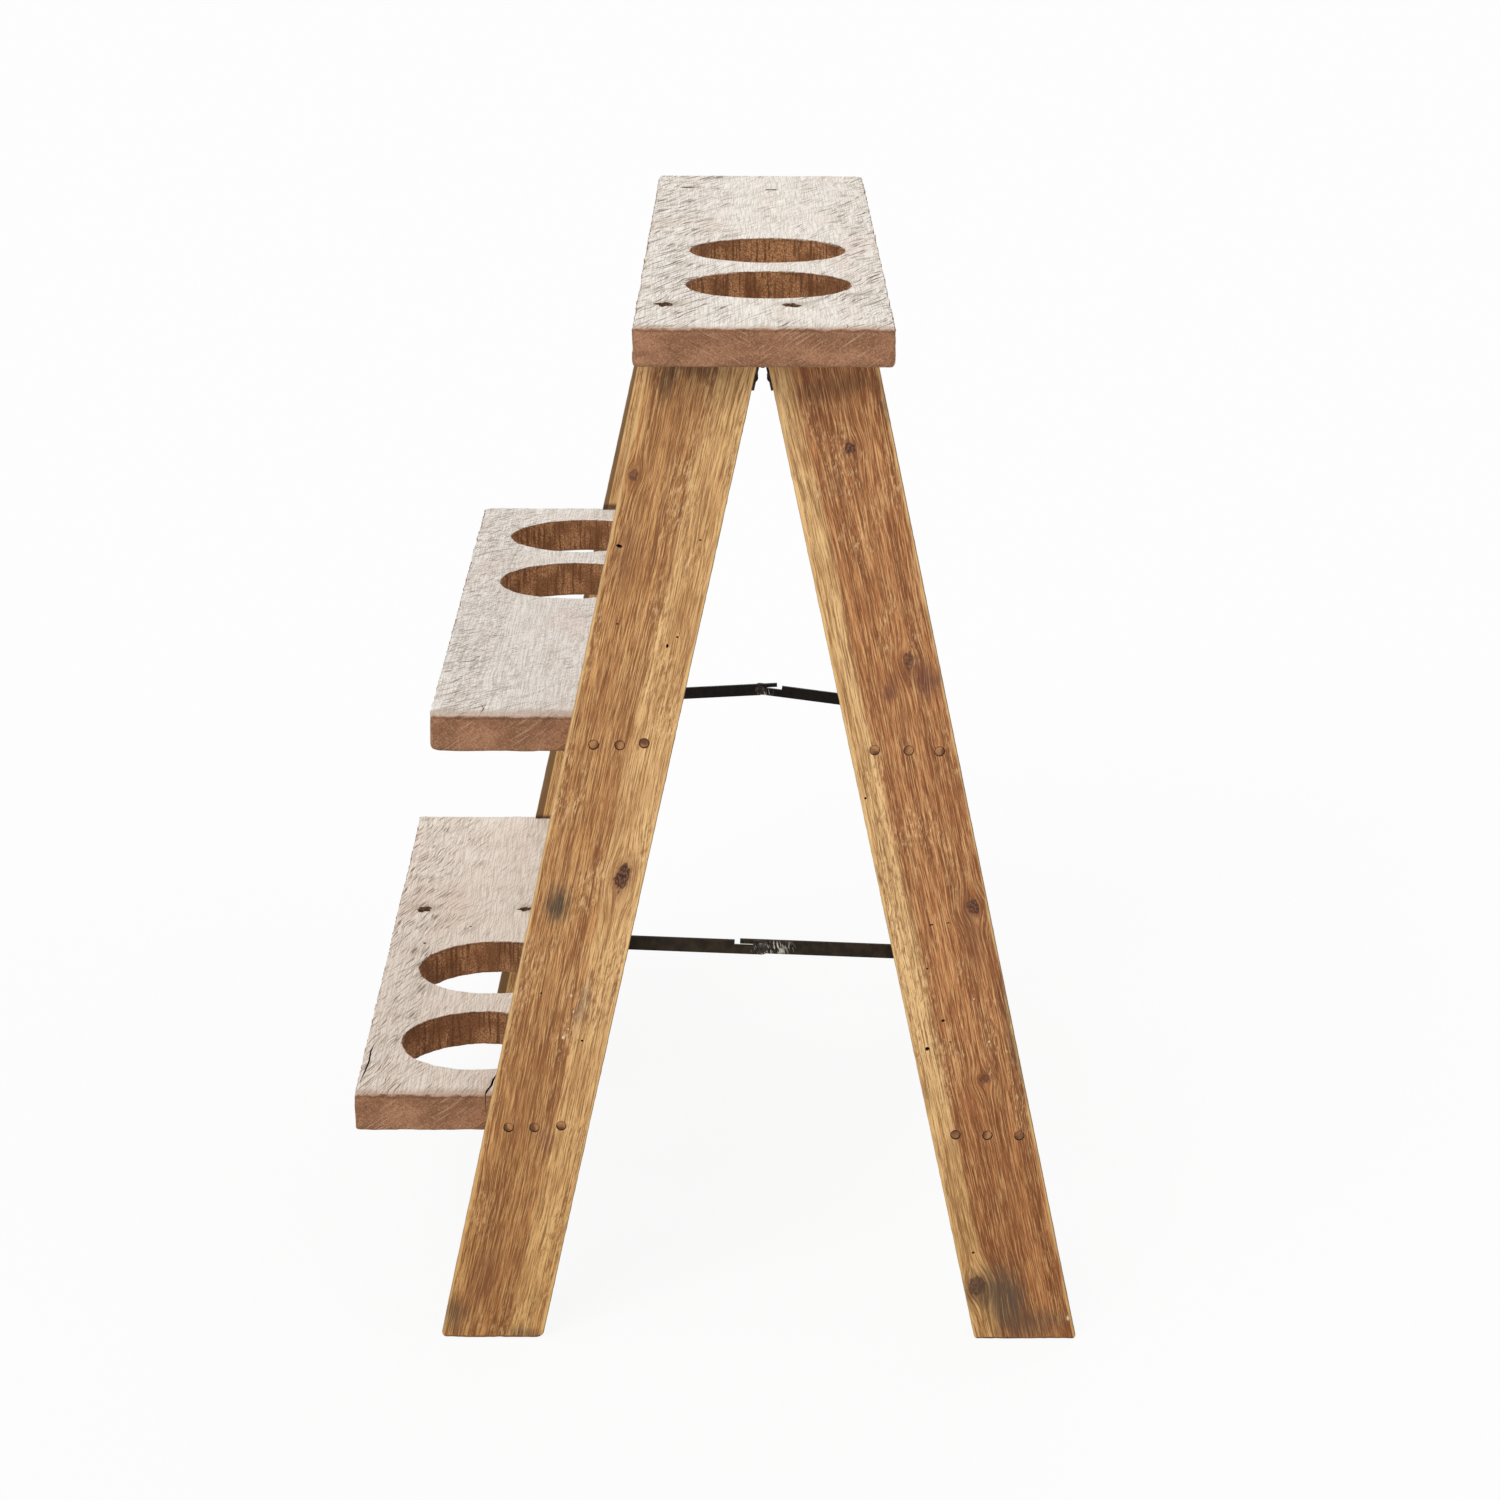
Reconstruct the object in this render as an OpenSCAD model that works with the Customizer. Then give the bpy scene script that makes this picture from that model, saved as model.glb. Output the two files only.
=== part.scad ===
// Folding A-frame plant ladder stand with round pot holes in its top board and two steps.
// X runs from the front, where the steps stick out (-X), to the back; Y runs along the
// boards; Z is up. Right is the -Y side and left the +Y side. The origin is on the floor,
// under the middle of the whole stand. It stands open, and the back frame folds forwards.

/* [Stand] */
// Height of the top board's upper face above the floor
stand_height = 970; // [850:5:1100]
// Lean of every leg from the vertical, in degrees
leg_rake = 12.1; // [9:0.1:14]
// Distance of the hinge pins behind the top board's middle line
hinge_offset = -1; // [-6:1:6]

/* [Top board] */
// Length of the top board, along Y
board_length = 945; // [900:5:1200]
// Width of the top board, front to back
board_width = 225; // [215:1:260]
// Thickness of the top board
board_thick = 34; // [30:1:45]
// How far each end of the top board stands out past the legs
board_overhang = 40; // [10:1:60]

/* [Legs] */
// Width of a leg across its broad face
leg_width = 94; // [85:1:100]
// Thickness of a leg, along Y
leg_thick = 28; // [24:1:36]
// How deep the steps and the back rails are let into the legs
housing_depth = 8; // [4:0.5:12]

/* [Steps] */
// Width of both steps, front to back, at their right end
step_width = 215; // [190:1:240]
// Distance of a step's rear edge in from the back edge of the front legs
step_setback = 1.5; // [0:0.5:8]
// Height of the middle step's upper face
middle_step_height = 607; // [560:1:680]
// Thickness of the middle step
middle_step_thick = 36; // [26:1:40]
// Extra width of the middle step at its left end
middle_step_taper = 10; // [0:1:20]
// Height of the lower step's upper face
lower_step_height = 239; // [200:1:300]
// Thickness of the lower step
lower_step_thick = 36; // [26:1:40]
// Extra width of the lower step at its left end
lower_step_taper = 13; // [0:1:20]

/* [Pot holes] */
// Diameter of the pot holes
pot_hole_d = 150; // [100:1:170]
// Distance between the middles of a board's two holes
pot_hole_pitch = 199; // [180:1:215]
// Distance of the top board's holes behind its middle line
top_hole_offset = 5; // [-15:1:15]
// Distance of the top board's pair of holes to the left of the boards' middle
top_pair_shift = -146; // [-250:1:250]
// Distance of the middle step's pair of holes to the left of the boards' middle
middle_pair_shift = 181; // [-200:1:200]
// Distance of the lower step's pair of holes to the left of the boards' middle
lower_pair_shift = -175; // [-200:1:200]

/* [Back rails] */
// Width of the rails that join the back legs, front to back
rail_width = 84; // [80:1:90]
// Thickness of the rails
rail_thick = 28; // [20:1:34]
// Height of the middle of the upper rail
upper_rail_height = 584; // [500:1:640]
// Height of the middle of the lower rail
lower_rail_height = 211; // [150:1:300]

/* [Screws and plugs] */
// Diameter of the wooden plugs over the screw heads
plug_d = 9; // [8.5:0.5:12]
// Length of a plug
plug_length = 8; // [4:0.5:10]
// Diameter of a wood screw's head
screw_head_d = 8; // [6:0.5:8]
// Height of a wood screw's countersunk head
screw_head_height = 3; // [2:0.5:4]
// Diameter of a wood screw's shank
screw_shank_d = 4.4; // [3.5:0.1:5]
// Length of a wood screw under its head
screw_length = 45; // [35:1:70]
// Distance between neighbouring screws in the front legs
front_screw_pitch = 24; // [18:1:30]
// Distance between neighbouring screws in the back legs
back_screw_pitch = 29; // [22:1:30]
// Distance of a back leg's screw rows behind the middle of the leg
back_screw_shift = 6; // [0:1:7]
// Distance of the front screw rows below the middle of a step's thickness
step_screw_drop = 4; // [0:0.5:6]

/* [Dowels] */
// Diameter of the dowels between the front legs and the top board
dowel_d = 10; // [8:1:14]
// Depth of a dowel in the top board
dowel_in_board = 22; // [15:1:25]
// Depth of a dowel in the leg
dowel_in_leg = 36; // [20:1:50]
// Distance between the two dowels of a leg
dowel_pitch = 44; // [30:1:55]

/* [Hinges] */
// Distance from the hinge pin's middle to the edge of each leg
hinge_gap = 4.2; // [3.8:0.1:6]
// Length of a hinge along its pin
hinge_length = 24; // [18:1:24]
// How far a leaf reaches down the leg from the pin
leaf_reach = 25; // [22:1:40]
// Thickness of a leaf
leaf_thick = 2; // [1.5:0.1:2.4]
// Diameter of the hinge pin
hinge_pin_d = 3; // [2.5:0.1:4]
// Distance of the leaf screws below the pin
leaf_screw_drop = 15; // [13:0.5:17]
// Distance between the two screws of a leaf
leaf_screw_pitch = 12; // [9:0.5:14]
// Diameter of a leaf screw's shank
leaf_screw_d = 3.4; // [2.5:0.1:4]
// Diameter of a leaf screw's round head
leaf_screw_head_d = 6.6; // [5:0.1:8]
// Height of a leaf screw's round head
leaf_screw_head_height = 1.5; // [1:0.1:1.8]
// Length of a leaf screw under its head
leaf_screw_length = 18; // [12:1:25]

/* [Stays] */
// Height of the stays' pivots on the front legs
front_pivot_height = 388; // [330:1:480]
// Height of the stays' pivots on the back legs
back_pivot_height = 375; // [330:1:480]
// Width of a stay bar, up and down
bar_width = 13; // [11:0.5:18]
// Thickness of a stay bar
bar_thick = 3; // [2:0.5:4]
// How far the left stay's middle joint stands above the line between its pivots
left_stay_rise = 16; // [0:1:30]
// How far the right stay's middle joint stands above the line between its pivots
right_stay_rise = 0; // [0:1:30]
// Depth of the notch in the upper edge of a notched bar
notch_depth = 4.5; // [3:0.5:5]
// Distance from the middle joint to the near end of the notch
notch_start = 8; // [7.5:0.5:12]
// Length of the notch
notch_length = 17; // [13:0.5:20]
// Length of the tongue that lies in the notch, past the middle joint
tongue_reach = 20; // [14:0.5:20]
// Thickness of the washer between a leg and the bar next to it
washer_thick = 2.6; // [2.2:0.1:4]
// Diameter of the washers
washer_d = 13; // [10:0.5:16]
// Diameter of a pivot screw's shank
pivot_screw_d = 5; // [4:0.1:6]
// Depth of a pivot screw in the leg
pivot_screw_depth = 18; // [10:1:20]
// Diameter of a pivot screw's round head
pivot_head_d = 11; // [9:0.5:14]
// Height of a pivot screw's round head
pivot_head_height = 2.5; // [1.5:0.1:4]
// Diameter of the rivet in a stay's middle joint
rivet_d = 5; // [4:0.1:6]
// Diameter of a rivet head
rivet_head_d = 10; // [8:0.5:12]
// Height of a rivet head
rivet_head_height = 1.7; // [1:0.1:2]

/* [Fits] */
// Gap round glued, housed and screwed pieces
fit_gap = 0.1; // [0.05:0.01:0.2]
// Gap between pieces that slide past each other
slip_gap = 0.3; // [0.2:0.05:0.5]
// Gap round a hinge pin or a pivot screw
pin_gap = 0.05; // [0.02:0.01:0.1]

/* [Hidden] */
$fn = 48;
// Extra length of a cut that runs out of the wood
past = 1;

board_bottom = stand_height - board_thick;
leg_outer_y = board_length / 2 - board_overhang;
leg_inner_y = leg_outer_y - leg_thick;
// Steps and rails end at the floor of their housings
crosspiece_length = 2 * (leg_inner_y + housing_depth - fit_gap);

// Hinge pins and knuckles
knuckle_r = hinge_gap - slip_gap;
pin_x = hinge_offset;
pin_z = board_bottom - knuckle_r - slip_gap;
knuckle_length = (hinge_length - 2 * slip_gap) / 3;

// Horizontal distances from the plane through the pins, at a height z
leg_run = leg_width / cos(leg_rake);
function leg_edge(z) = hinge_gap / cos(leg_rake) + (pin_z - z) * tan(leg_rake);
function leg_middle(z) = leg_edge(z) + leg_run / 2;
function step_rear(height, thick) = leg_edge(height - thick) + step_setback;

middle_step_rear = step_rear(middle_step_height, middle_step_thick);
lower_step_rear = step_rear(lower_step_height, lower_step_thick);
middle_screw_height = middle_step_height - middle_step_thick / 2 - step_screw_drop;
lower_screw_height = lower_step_height - lower_step_thick / 2 - step_screw_drop;

// The stand's furthest points to the front and the back, and the shift that centres it
reach_front = max(
    lower_step_rear + step_width + lower_step_taper - pin_x,
    middle_step_rear + step_width + middle_step_taper - pin_x,
    leg_edge(0) + leg_run - pin_x
);
reach_back = leg_edge(0) + leg_run + pin_x;
centre_shift = (reach_front - reach_back) / 2;

// Stay bars lie in two planes, measured from the inner face of a leg
outer_bar_y = washer_thick + slip_gap;
inner_bar_y = outer_bar_y + bar_thick + slip_gap;

// Stay pivots as [x, z], and the length and slope of the bars between them
front_pivot = [pin_x - leg_middle(front_pivot_height), front_pivot_height];
back_pivot = [pin_x + leg_middle(back_pivot_height), back_pivot_height];
pivot_span = norm(back_pivot - front_pivot);
span_slope = atan2(back_pivot[1] - front_pivot[1], back_pivot[0] - front_pivot[0]);
function bar_length(rise) = norm([pivot_span / 2, rise]);
function front_slope(rise) = atan2(rise, pivot_span / 2) + span_slope;
function back_slope(rise) = atan2(rise, pivot_span / 2) - span_slope;

RIGHT = -1;
LEFT = 1;

// ---- placing ----

// Everything is drawn from the top board's middle line and shifted to the stand's middle
module placed() {
    translate([centre_shift, 0, 0]) children();
}

// The back half is drawn as it is, from the plane through the pins
module back_half() {
    placed() translate([pin_x, 0, 0]) children();
}

// The front half is drawn as a back half and mirrored
module front_half() {
    placed() translate([pin_x, 0, 0]) mirror([1, 0, 0]) children();
}

module left_side() {
    mirror([0, 1, 0]) children();
}

module both_sides() {
    children();
    left_side() children();
}

// ---- shared shapes ----

// A plate in the XZ plane, from y0 towards +Y
module upright_plate(y0, thick) {
    translate([0, y0 + thick, 0]) rotate([90, 0, 0]) linear_extrude(thick) children();
}

// Turns a shape that grows along +Z so that it grows along +Y
module along_y(y0) {
    translate([0, y0, 0]) rotate([-90, 0, 0]) children();
}

// A round screw or rivet head on the plane z = 0
module dome(d, height) {
    dome_r = (pow(d / 2, 2) + pow(height, 2)) / (2 * height);
    intersection() {
        translate([0, 0, height - dome_r]) sphere(r = dome_r, $fn = 96);
        cylinder(d = d, h = height);
    }
}

// A raked leg on the right side, cut level at the floor and at its top
module leg_blank(top) {
    upright_plate(-leg_outer_y, leg_thick) polygon([
        [leg_edge(0), 0],
        [leg_edge(0) + leg_run, 0],
        [leg_edge(top) + leg_run, top],
        [leg_edge(top), top]
    ]);
}

// Three places in a row for screws that enter the right leg from outside
module screw_row(height, pitch, shift) {
    for (i = [-1 : 1])
        translate([leg_middle(height) + shift + i * pitch, 0, height])
            along_y(-leg_outer_y) children();
}

module front_screw_rows() {
    screw_row(middle_screw_height, front_screw_pitch, 0) children();
    screw_row(lower_screw_height, front_screw_pitch, 0) children();
}

module back_screw_rows() {
    screw_row(upper_rail_height, back_screw_pitch, back_screw_shift) children();
    screw_row(lower_rail_height, back_screw_pitch, back_screw_shift) children();
}

// Counterbore for a plug and a head, and the hole for the shank
module screw_hole() {
    head_end = plug_length + screw_head_height;
    translate([0, 0, -past]) cylinder(d = plug_d + 2 * fit_gap, h = past + head_end);
    cylinder(d = screw_shank_d + 2 * fit_gap, h = head_end + screw_length + past);
}

module wood_screw() {
    translate([0, 0, plug_length]) {
        cylinder(d1 = screw_head_d, d2 = screw_shank_d, h = screw_head_height);
        cylinder(d = screw_shank_d, h = screw_head_height + screw_length);
    }
}

module plug() {
    cylinder(d = plug_d, h = plug_length);
}

// Places of the two dowels that stand in a right front leg
module dowel_places() {
    for (i = [-1, 1])
        translate([
            leg_middle(board_bottom) + i * dowel_pitch / 2,
            -(leg_outer_y + leg_inner_y) / 2,
            board_bottom - dowel_in_leg
        ]) children();
}

module dowel_holes() {
    dowel_places() cylinder(
        d = dowel_d + 2 * fit_gap,
        h = dowel_in_leg + dowel_in_board + fit_gap
    );
}

// Places of a leaf's screws on the right hinge, seen from the pin
module at_hinge() {
    translate([0, -(leg_outer_y + leg_inner_y) / 2, pin_z]) rotate([0, -leg_rake, 0]) children();
}

module leaf_screw_places() {
    at_hinge() for (i = [-1, 1])
        translate([hinge_gap - leaf_thick, i * leaf_screw_pitch / 2, -leaf_screw_drop])
            rotate([0, 90, 0]) children();
}

module leaf_screw_holes() {
    leaf_screw_places() cylinder(
        d = leaf_screw_d + 2 * fit_gap,
        h = leaf_screw_length + past
    );
}

// Hole for a stay's pivot screw in the inner face of a right leg
module pivot_hole(height) {
    translate([leg_middle(height), 0, height])
        along_y(-leg_inner_y - pivot_screw_depth - fit_gap)
            cylinder(d = pivot_screw_d + 2 * fit_gap, h = pivot_screw_depth + past);
}

// Housing in the inner face of a right leg, from one distance behind the pins to another
module housing(from, to, top, thick) {
    translate([from - fit_gap, -leg_inner_y - housing_depth, top - thick - fit_gap])
        cube([to - from + 2 * fit_gap, housing_depth + past, thick + 2 * fit_gap]);
}

// ---- wood ----

// Two pot holes through a board whose underside is at bottom
module pot_holes(x, pair_shift, bottom, thick) {
    for (i = [-0.5, 0.5])
        translate([x, pair_shift + i * pot_hole_pitch, bottom - past])
            cylinder(d = pot_hole_d, h = thick + 2 * past, $fn = 96);
}

module top_board() {
    color("#d6c8bc") difference() {
        placed() translate([-board_width / 2, -board_length / 2, board_bottom])
            cube([board_width, board_length, board_thick]);
        placed() pot_holes(top_hole_offset, top_pair_shift, board_bottom, board_thick);
        front_half() both_sides() dowel_holes();
    }
}

// A step that widens by taper from its right end to its left end
module step(rear, top, thick, taper, pair_shift) {
    half = crosspiece_length / 2;
    difference() {
        translate([0, 0, top - thick]) linear_extrude(thick) polygon([
            [rear, -half],
            [rear + step_width, -half],
            [rear + step_width + taper, half],
            [rear, half]
        ]);
        pot_holes(rear + step_width / 2, pair_shift, top - thick, thick);
        both_sides() front_screw_rows() screw_hole();
    }
}

module middle_step() {
    color("#cdbcae") front_half() step(middle_step_rear, middle_step_height,
        middle_step_thick, middle_step_taper, middle_pair_shift);
}

module lower_step() {
    color("#cdbcae") front_half() step(lower_step_rear, lower_step_height,
        lower_step_thick, lower_step_taper, lower_pair_shift);
}

module front_leg() {
    step_end = step_width + max(middle_step_taper, lower_step_taper) + past;
    difference() {
        leg_blank(board_bottom);
        housing(middle_step_rear, middle_step_rear + step_end, middle_step_height,
            middle_step_thick);
        housing(lower_step_rear, lower_step_rear + step_end, lower_step_height,
            lower_step_thick);
        front_screw_rows() screw_hole();
        dowel_holes();
        leaf_screw_holes();
        pivot_hole(front_pivot_height);
    }
}

module front_leg_right() {
    color("#b07a45") front_half() front_leg();
}

module front_leg_left() {
    color("#b07a45") front_half() left_side() front_leg();
}

// The back legs stop just short of the board, which they bear up against when it is open
module back_leg() {
    difference() {
        leg_blank(board_bottom - slip_gap);
        rail_housing(upper_rail_height);
        rail_housing(lower_rail_height);
        back_screw_rows() screw_hole();
        leaf_screw_holes();
        pivot_hole(back_pivot_height);
    }
}

module rail_housing(height) {
    housing(leg_middle(height) - rail_width / 2, leg_middle(height) + rail_width / 2,
        height + rail_thick / 2, rail_thick);
}

module back_leg_right() {
    color("#a86f3d") back_half() back_leg();
}

module back_leg_left() {
    color("#a86f3d") back_half() left_side() back_leg();
}

// A rail lies flat between the back legs
module rail(height) {
    color("#a97442") back_half() difference() {
        translate([leg_middle(height), 0, height])
            cube([rail_width, crosspiece_length, rail_thick], center = true);
        both_sides() back_screw_rows() screw_hole();
    }
}

module upper_back_rail() {
    rail(upper_rail_height);
}

module lower_back_rail() {
    rail(lower_rail_height);
}

module top_board_dowels() {
    color("#c79a63") front_half() both_sides() dowel_places()
        cylinder(d = dowel_d, h = dowel_in_leg + dowel_in_board);
}

module step_screw_plugs() {
    color("#8a4f2c") front_half() both_sides() front_screw_rows() plug();
}

module rail_screw_plugs() {
    color("#8a4f2c") back_half() both_sides() back_screw_rows() plug();
}

// ---- screws ----

module step_screws() {
    color("#8c8c88") front_half() both_sides() front_screw_rows() wood_screw();
}

module rail_screws() {
    color("#8c8c88") back_half() both_sides() back_screw_rows() wood_screw();
}

// ---- hinges ----

// Where barrel section number i of three begins along the pin
function knuckle_start(i) = (i - 1) * (knuckle_length + slip_gap) - knuckle_length / 2;

// Room in a leaf for the other leaf's barrel section
module knuckle_notch(i) {
    notch_reach = knuckle_r + slip_gap;
    translate([hinge_gap - leaf_thick - past, knuckle_start(i) - slip_gap, -notch_reach])
        cube([leaf_thick + 2 * past, knuckle_length + 2 * slip_gap, notch_reach + past]);
}

// A leaf that lies on a leg's edge: it carries its own barrel sections and clears the others
module hinge_leaf(own, others) {
    difference() {
        union() {
            translate([hinge_gap - leaf_thick, -hinge_length / 2, -leaf_reach])
                cube([leaf_thick, hinge_length, leaf_reach]);
            for (i = own)
                along_y(knuckle_start(i)) cylinder(r = knuckle_r, h = knuckle_length);
        }
        for (i = others) knuckle_notch(i);
        along_y(-hinge_length / 2 - past)
            cylinder(d = hinge_pin_d + 2 * pin_gap, h = hinge_length + 2 * past);
    }
}

module front_leaf() {
    difference() {
        at_hinge() hinge_leaf([0, 2], [1]);
        leaf_screw_holes();
    }
}

module back_leaf() {
    difference() {
        at_hinge() hinge_leaf([1], [0, 2]);
        leaf_screw_holes();
    }
}

module hinge_front_leaf_right() {
    color("#2b2724") front_half() front_leaf();
}

module hinge_front_leaf_left() {
    color("#2b2724") front_half() left_side() front_leaf();
}

module hinge_back_leaf_right() {
    color("#2b2724") back_half() back_leaf();
}

module hinge_back_leaf_left() {
    color("#2b2724") back_half() left_side() back_leaf();
}

module hinge_pins() {
    color("#5a5550") back_half() both_sides() at_hinge()
        along_y(-hinge_length / 2) cylinder(d = hinge_pin_d, h = hinge_length);
}

// A round-headed screw whose head lies on the leaf
module leaf_screw() {
    cylinder(d = leaf_screw_d, h = leaf_screw_length);
    mirror([0, 0, 1]) dome(leaf_screw_head_d, leaf_screw_head_height);
}

module hinge_front_screws() {
    color("#3a3531") front_half() both_sides() leaf_screw_places() leaf_screw();
}

module hinge_back_screws() {
    color("#3a3531") back_half() both_sides() leaf_screw_places() leaf_screw();
}

// ---- stays ----

// A stay bar's own frame: its leg pivot at the origin, the bar along +X, its upper edge up,
// and +Y away from the leg's inner face. Front bars point back and back bars point forwards.
module at_pivot(pivot, side) {
    placed() translate([pivot[0], side * leg_inner_y, pivot[1]])
        mirror([0, side == LEFT ? 1 : 0, 0]) children();
}

module front_bar_frame(side, rise) {
    at_pivot(front_pivot, side) rotate([0, -front_slope(rise), 0]) children();
}

module back_bar_frame(side, rise) {
    at_pivot(back_pivot, side) mirror([1, 0, 0]) rotate([0, -back_slope(rise), 0]) children();
}

// Outline of a bar with round ends
module bar_outline(length) {
    translate([0, -bar_width / 2]) square([length, bar_width]);
    circle(d = bar_width);
    translate([length, 0]) circle(d = bar_width);
}

module bar_holes(length) {
    circle(d = pivot_screw_d + 2 * pin_gap);
    translate([length, 0]) circle(d = rivet_d + 2 * pin_gap);
}

// The bar next to the leg has a notch in its upper edge
module notched_bar(length) {
    color("#1f1c1a") upright_plate(outer_bar_y, bar_thick) difference() {
        bar_outline(length);
        bar_holes(length);
        translate([length - notch_start - notch_length, bar_width / 2 - notch_depth])
            square([notch_length, notch_depth + past]);
    }
}

// The bar away from the leg has a tongue that reaches past the joint, over the notch's floor
module tongued_bar(length) {
    tongue_height = notch_depth - slip_gap;
    color("#1f1c1a") upright_plate(inner_bar_y, bar_thick) difference() {
        union() {
            bar_outline(length);
            translate([length, bar_width / 2 - tongue_height])
                square([tongue_reach, tongue_height]);
        }
        bar_holes(length);
    }
}

// Each half of the middle rivet stays in its own bar, so the joint comes apart
module outer_rivet(length) {
    color("#6b6660") translate([length, 0, 0]) {
        along_y(outer_bar_y) cylinder(d = rivet_d, h = bar_thick);
        translate([0, outer_bar_y, 0]) rotate([90, 0, 0]) dome(rivet_head_d, rivet_head_height);
    }
}

module inner_rivet(length) {
    color("#6b6660") translate([length, 0, 0]) {
        along_y(inner_bar_y) cylinder(d = rivet_d, h = bar_thick);
        along_y(inner_bar_y + bar_thick) dome(rivet_head_d, rivet_head_height);
    }
}

module right_stay_front_bar() {
    front_bar_frame(RIGHT, right_stay_rise) notched_bar(bar_length(right_stay_rise));
}

module right_stay_back_bar() {
    back_bar_frame(RIGHT, right_stay_rise) tongued_bar(bar_length(right_stay_rise));
}

module left_stay_front_bar() {
    front_bar_frame(LEFT, left_stay_rise) tongued_bar(bar_length(left_stay_rise));
}

module left_stay_back_bar() {
    back_bar_frame(LEFT, left_stay_rise) notched_bar(bar_length(left_stay_rise));
}

module right_stay_front_rivet() {
    front_bar_frame(RIGHT, right_stay_rise) outer_rivet(bar_length(right_stay_rise));
}

module right_stay_back_rivet() {
    back_bar_frame(RIGHT, right_stay_rise) inner_rivet(bar_length(right_stay_rise));
}

module left_stay_front_rivet() {
    front_bar_frame(LEFT, left_stay_rise) inner_rivet(bar_length(left_stay_rise));
}

module left_stay_back_rivet() {
    back_bar_frame(LEFT, left_stay_rise) outer_rivet(bar_length(left_stay_rise));
}

// A pivot screw runs through a bar at bar_y, with its head just clear of the bar
module pivot_screw(bar_y) {
    head_y = bar_y + bar_thick + slip_gap;
    color("#3a3531") {
        along_y(-pivot_screw_depth) cylinder(d = pivot_screw_d, h = pivot_screw_depth + head_y);
        along_y(head_y) dome(pivot_head_d, pivot_head_height);
    }
}

// A washer or spacer fills the way from the leg to just short of the bar
module pivot_washer(bar_y) {
    color("#3a3531") along_y(0) difference() {
        cylinder(d = washer_d, h = bar_y - slip_gap);
        translate([0, 0, -past])
            cylinder(d = pivot_screw_d + 2 * fit_gap, h = bar_y + 2 * past);
    }
}

module front_pivot_screws() {
    at_pivot(front_pivot, RIGHT) pivot_screw(outer_bar_y);
    at_pivot(front_pivot, LEFT) pivot_screw(inner_bar_y);
}

module back_pivot_screws() {
    at_pivot(back_pivot, RIGHT) pivot_screw(inner_bar_y);
    at_pivot(back_pivot, LEFT) pivot_screw(outer_bar_y);
}

module front_pivot_washers() {
    at_pivot(front_pivot, RIGHT) pivot_washer(outer_bar_y);
    at_pivot(front_pivot, LEFT) pivot_washer(inner_bar_y);
}

module back_pivot_washers() {
    at_pivot(back_pivot, RIGHT) pivot_washer(inner_bar_y);
    at_pivot(back_pivot, LEFT) pivot_washer(outer_bar_y);
}

top_board();
middle_step();
lower_step();
front_leg_right();
front_leg_left();
back_leg_right();
back_leg_left();
upper_back_rail();
lower_back_rail();
top_board_dowels();
step_screws();
step_screw_plugs();
rail_screws();
rail_screw_plugs();
hinge_front_leaf_right();
hinge_front_leaf_left();
hinge_back_leaf_right();
hinge_back_leaf_left();
hinge_pins();
hinge_front_screws();
hinge_back_screws();
right_stay_front_bar();
right_stay_back_bar();
left_stay_front_bar();
left_stay_back_bar();
right_stay_front_rivet();
right_stay_back_rivet();
left_stay_front_rivet();
left_stay_back_rivet();
front_pivot_screws();
back_pivot_screws();
front_pivot_washers();
back_pivot_washers();
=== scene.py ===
"""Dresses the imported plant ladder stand: worn planks, legs and rails with real edges, plugs and
marks, black stays, and a white studio. Lengths are in millimetres until a mesh is made.

Every wooden piece has its own axes: x across the grain, y along it and z out of its best face,
where z is 0. Its texture follows these axes, so the grain moves with the piece.
"""

import math

import bpy
import numpy as np
from mathutils import Matrix, Vector, noise


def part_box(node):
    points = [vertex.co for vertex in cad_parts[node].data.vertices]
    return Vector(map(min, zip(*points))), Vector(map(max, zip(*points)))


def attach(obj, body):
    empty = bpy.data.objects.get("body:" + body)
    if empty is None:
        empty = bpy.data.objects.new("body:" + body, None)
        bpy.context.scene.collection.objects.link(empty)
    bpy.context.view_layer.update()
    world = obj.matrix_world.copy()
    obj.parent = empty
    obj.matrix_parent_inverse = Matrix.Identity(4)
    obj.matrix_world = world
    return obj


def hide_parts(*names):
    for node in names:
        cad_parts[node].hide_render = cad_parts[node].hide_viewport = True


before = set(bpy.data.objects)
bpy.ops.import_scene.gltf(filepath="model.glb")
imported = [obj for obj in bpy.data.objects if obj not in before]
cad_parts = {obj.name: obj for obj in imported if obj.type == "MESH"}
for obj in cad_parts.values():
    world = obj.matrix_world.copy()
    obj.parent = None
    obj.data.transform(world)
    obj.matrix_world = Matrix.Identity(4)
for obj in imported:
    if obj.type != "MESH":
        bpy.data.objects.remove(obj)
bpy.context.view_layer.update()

MM = 0.001

# The stand's main sizes, as in the CAD
LEG_RAKE = math.radians(12.1)
LEG_WIDTH = 94
LEG_THICK = 28
LEG_OUTER_Y = 432.5
LEG_INNER_Y = LEG_OUTER_Y - LEG_THICK
HOUSING_DEPTH = 8
HOLE_RADIUS = 75
HOLE_PITCH = 199
PLUG_RADIUS = 4.5

# How far off level the middle plank's ends lie, as in the photo
MIDDLE_TILT = 2.0

# The size of a mark that goes right through a piece
THROUGH = 1e6

# The regions of a board's surface, in the order of its materials
TOP, BOTTOM, END, SIDE, BORE = range(5)

# The nets of the wooden meshes: the size of a cell on a face and down an edge, the lines that lie
# close to an edge, and where the rings round a pot hole lie between those lines and its block
CELL = 5
EDGE_CELL = 6
EDGE_STEPS = (0.5, 1.2, 2.2, 3.6, 5.5)
RING_FRACTIONS = (0.2, 0.42, 0.7)

# Edges that turn by more than these angles are shaded sharp
SHARP_ANGLE = math.radians(38)
PLUG_SHARP_ANGLE = math.radians(50)

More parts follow.
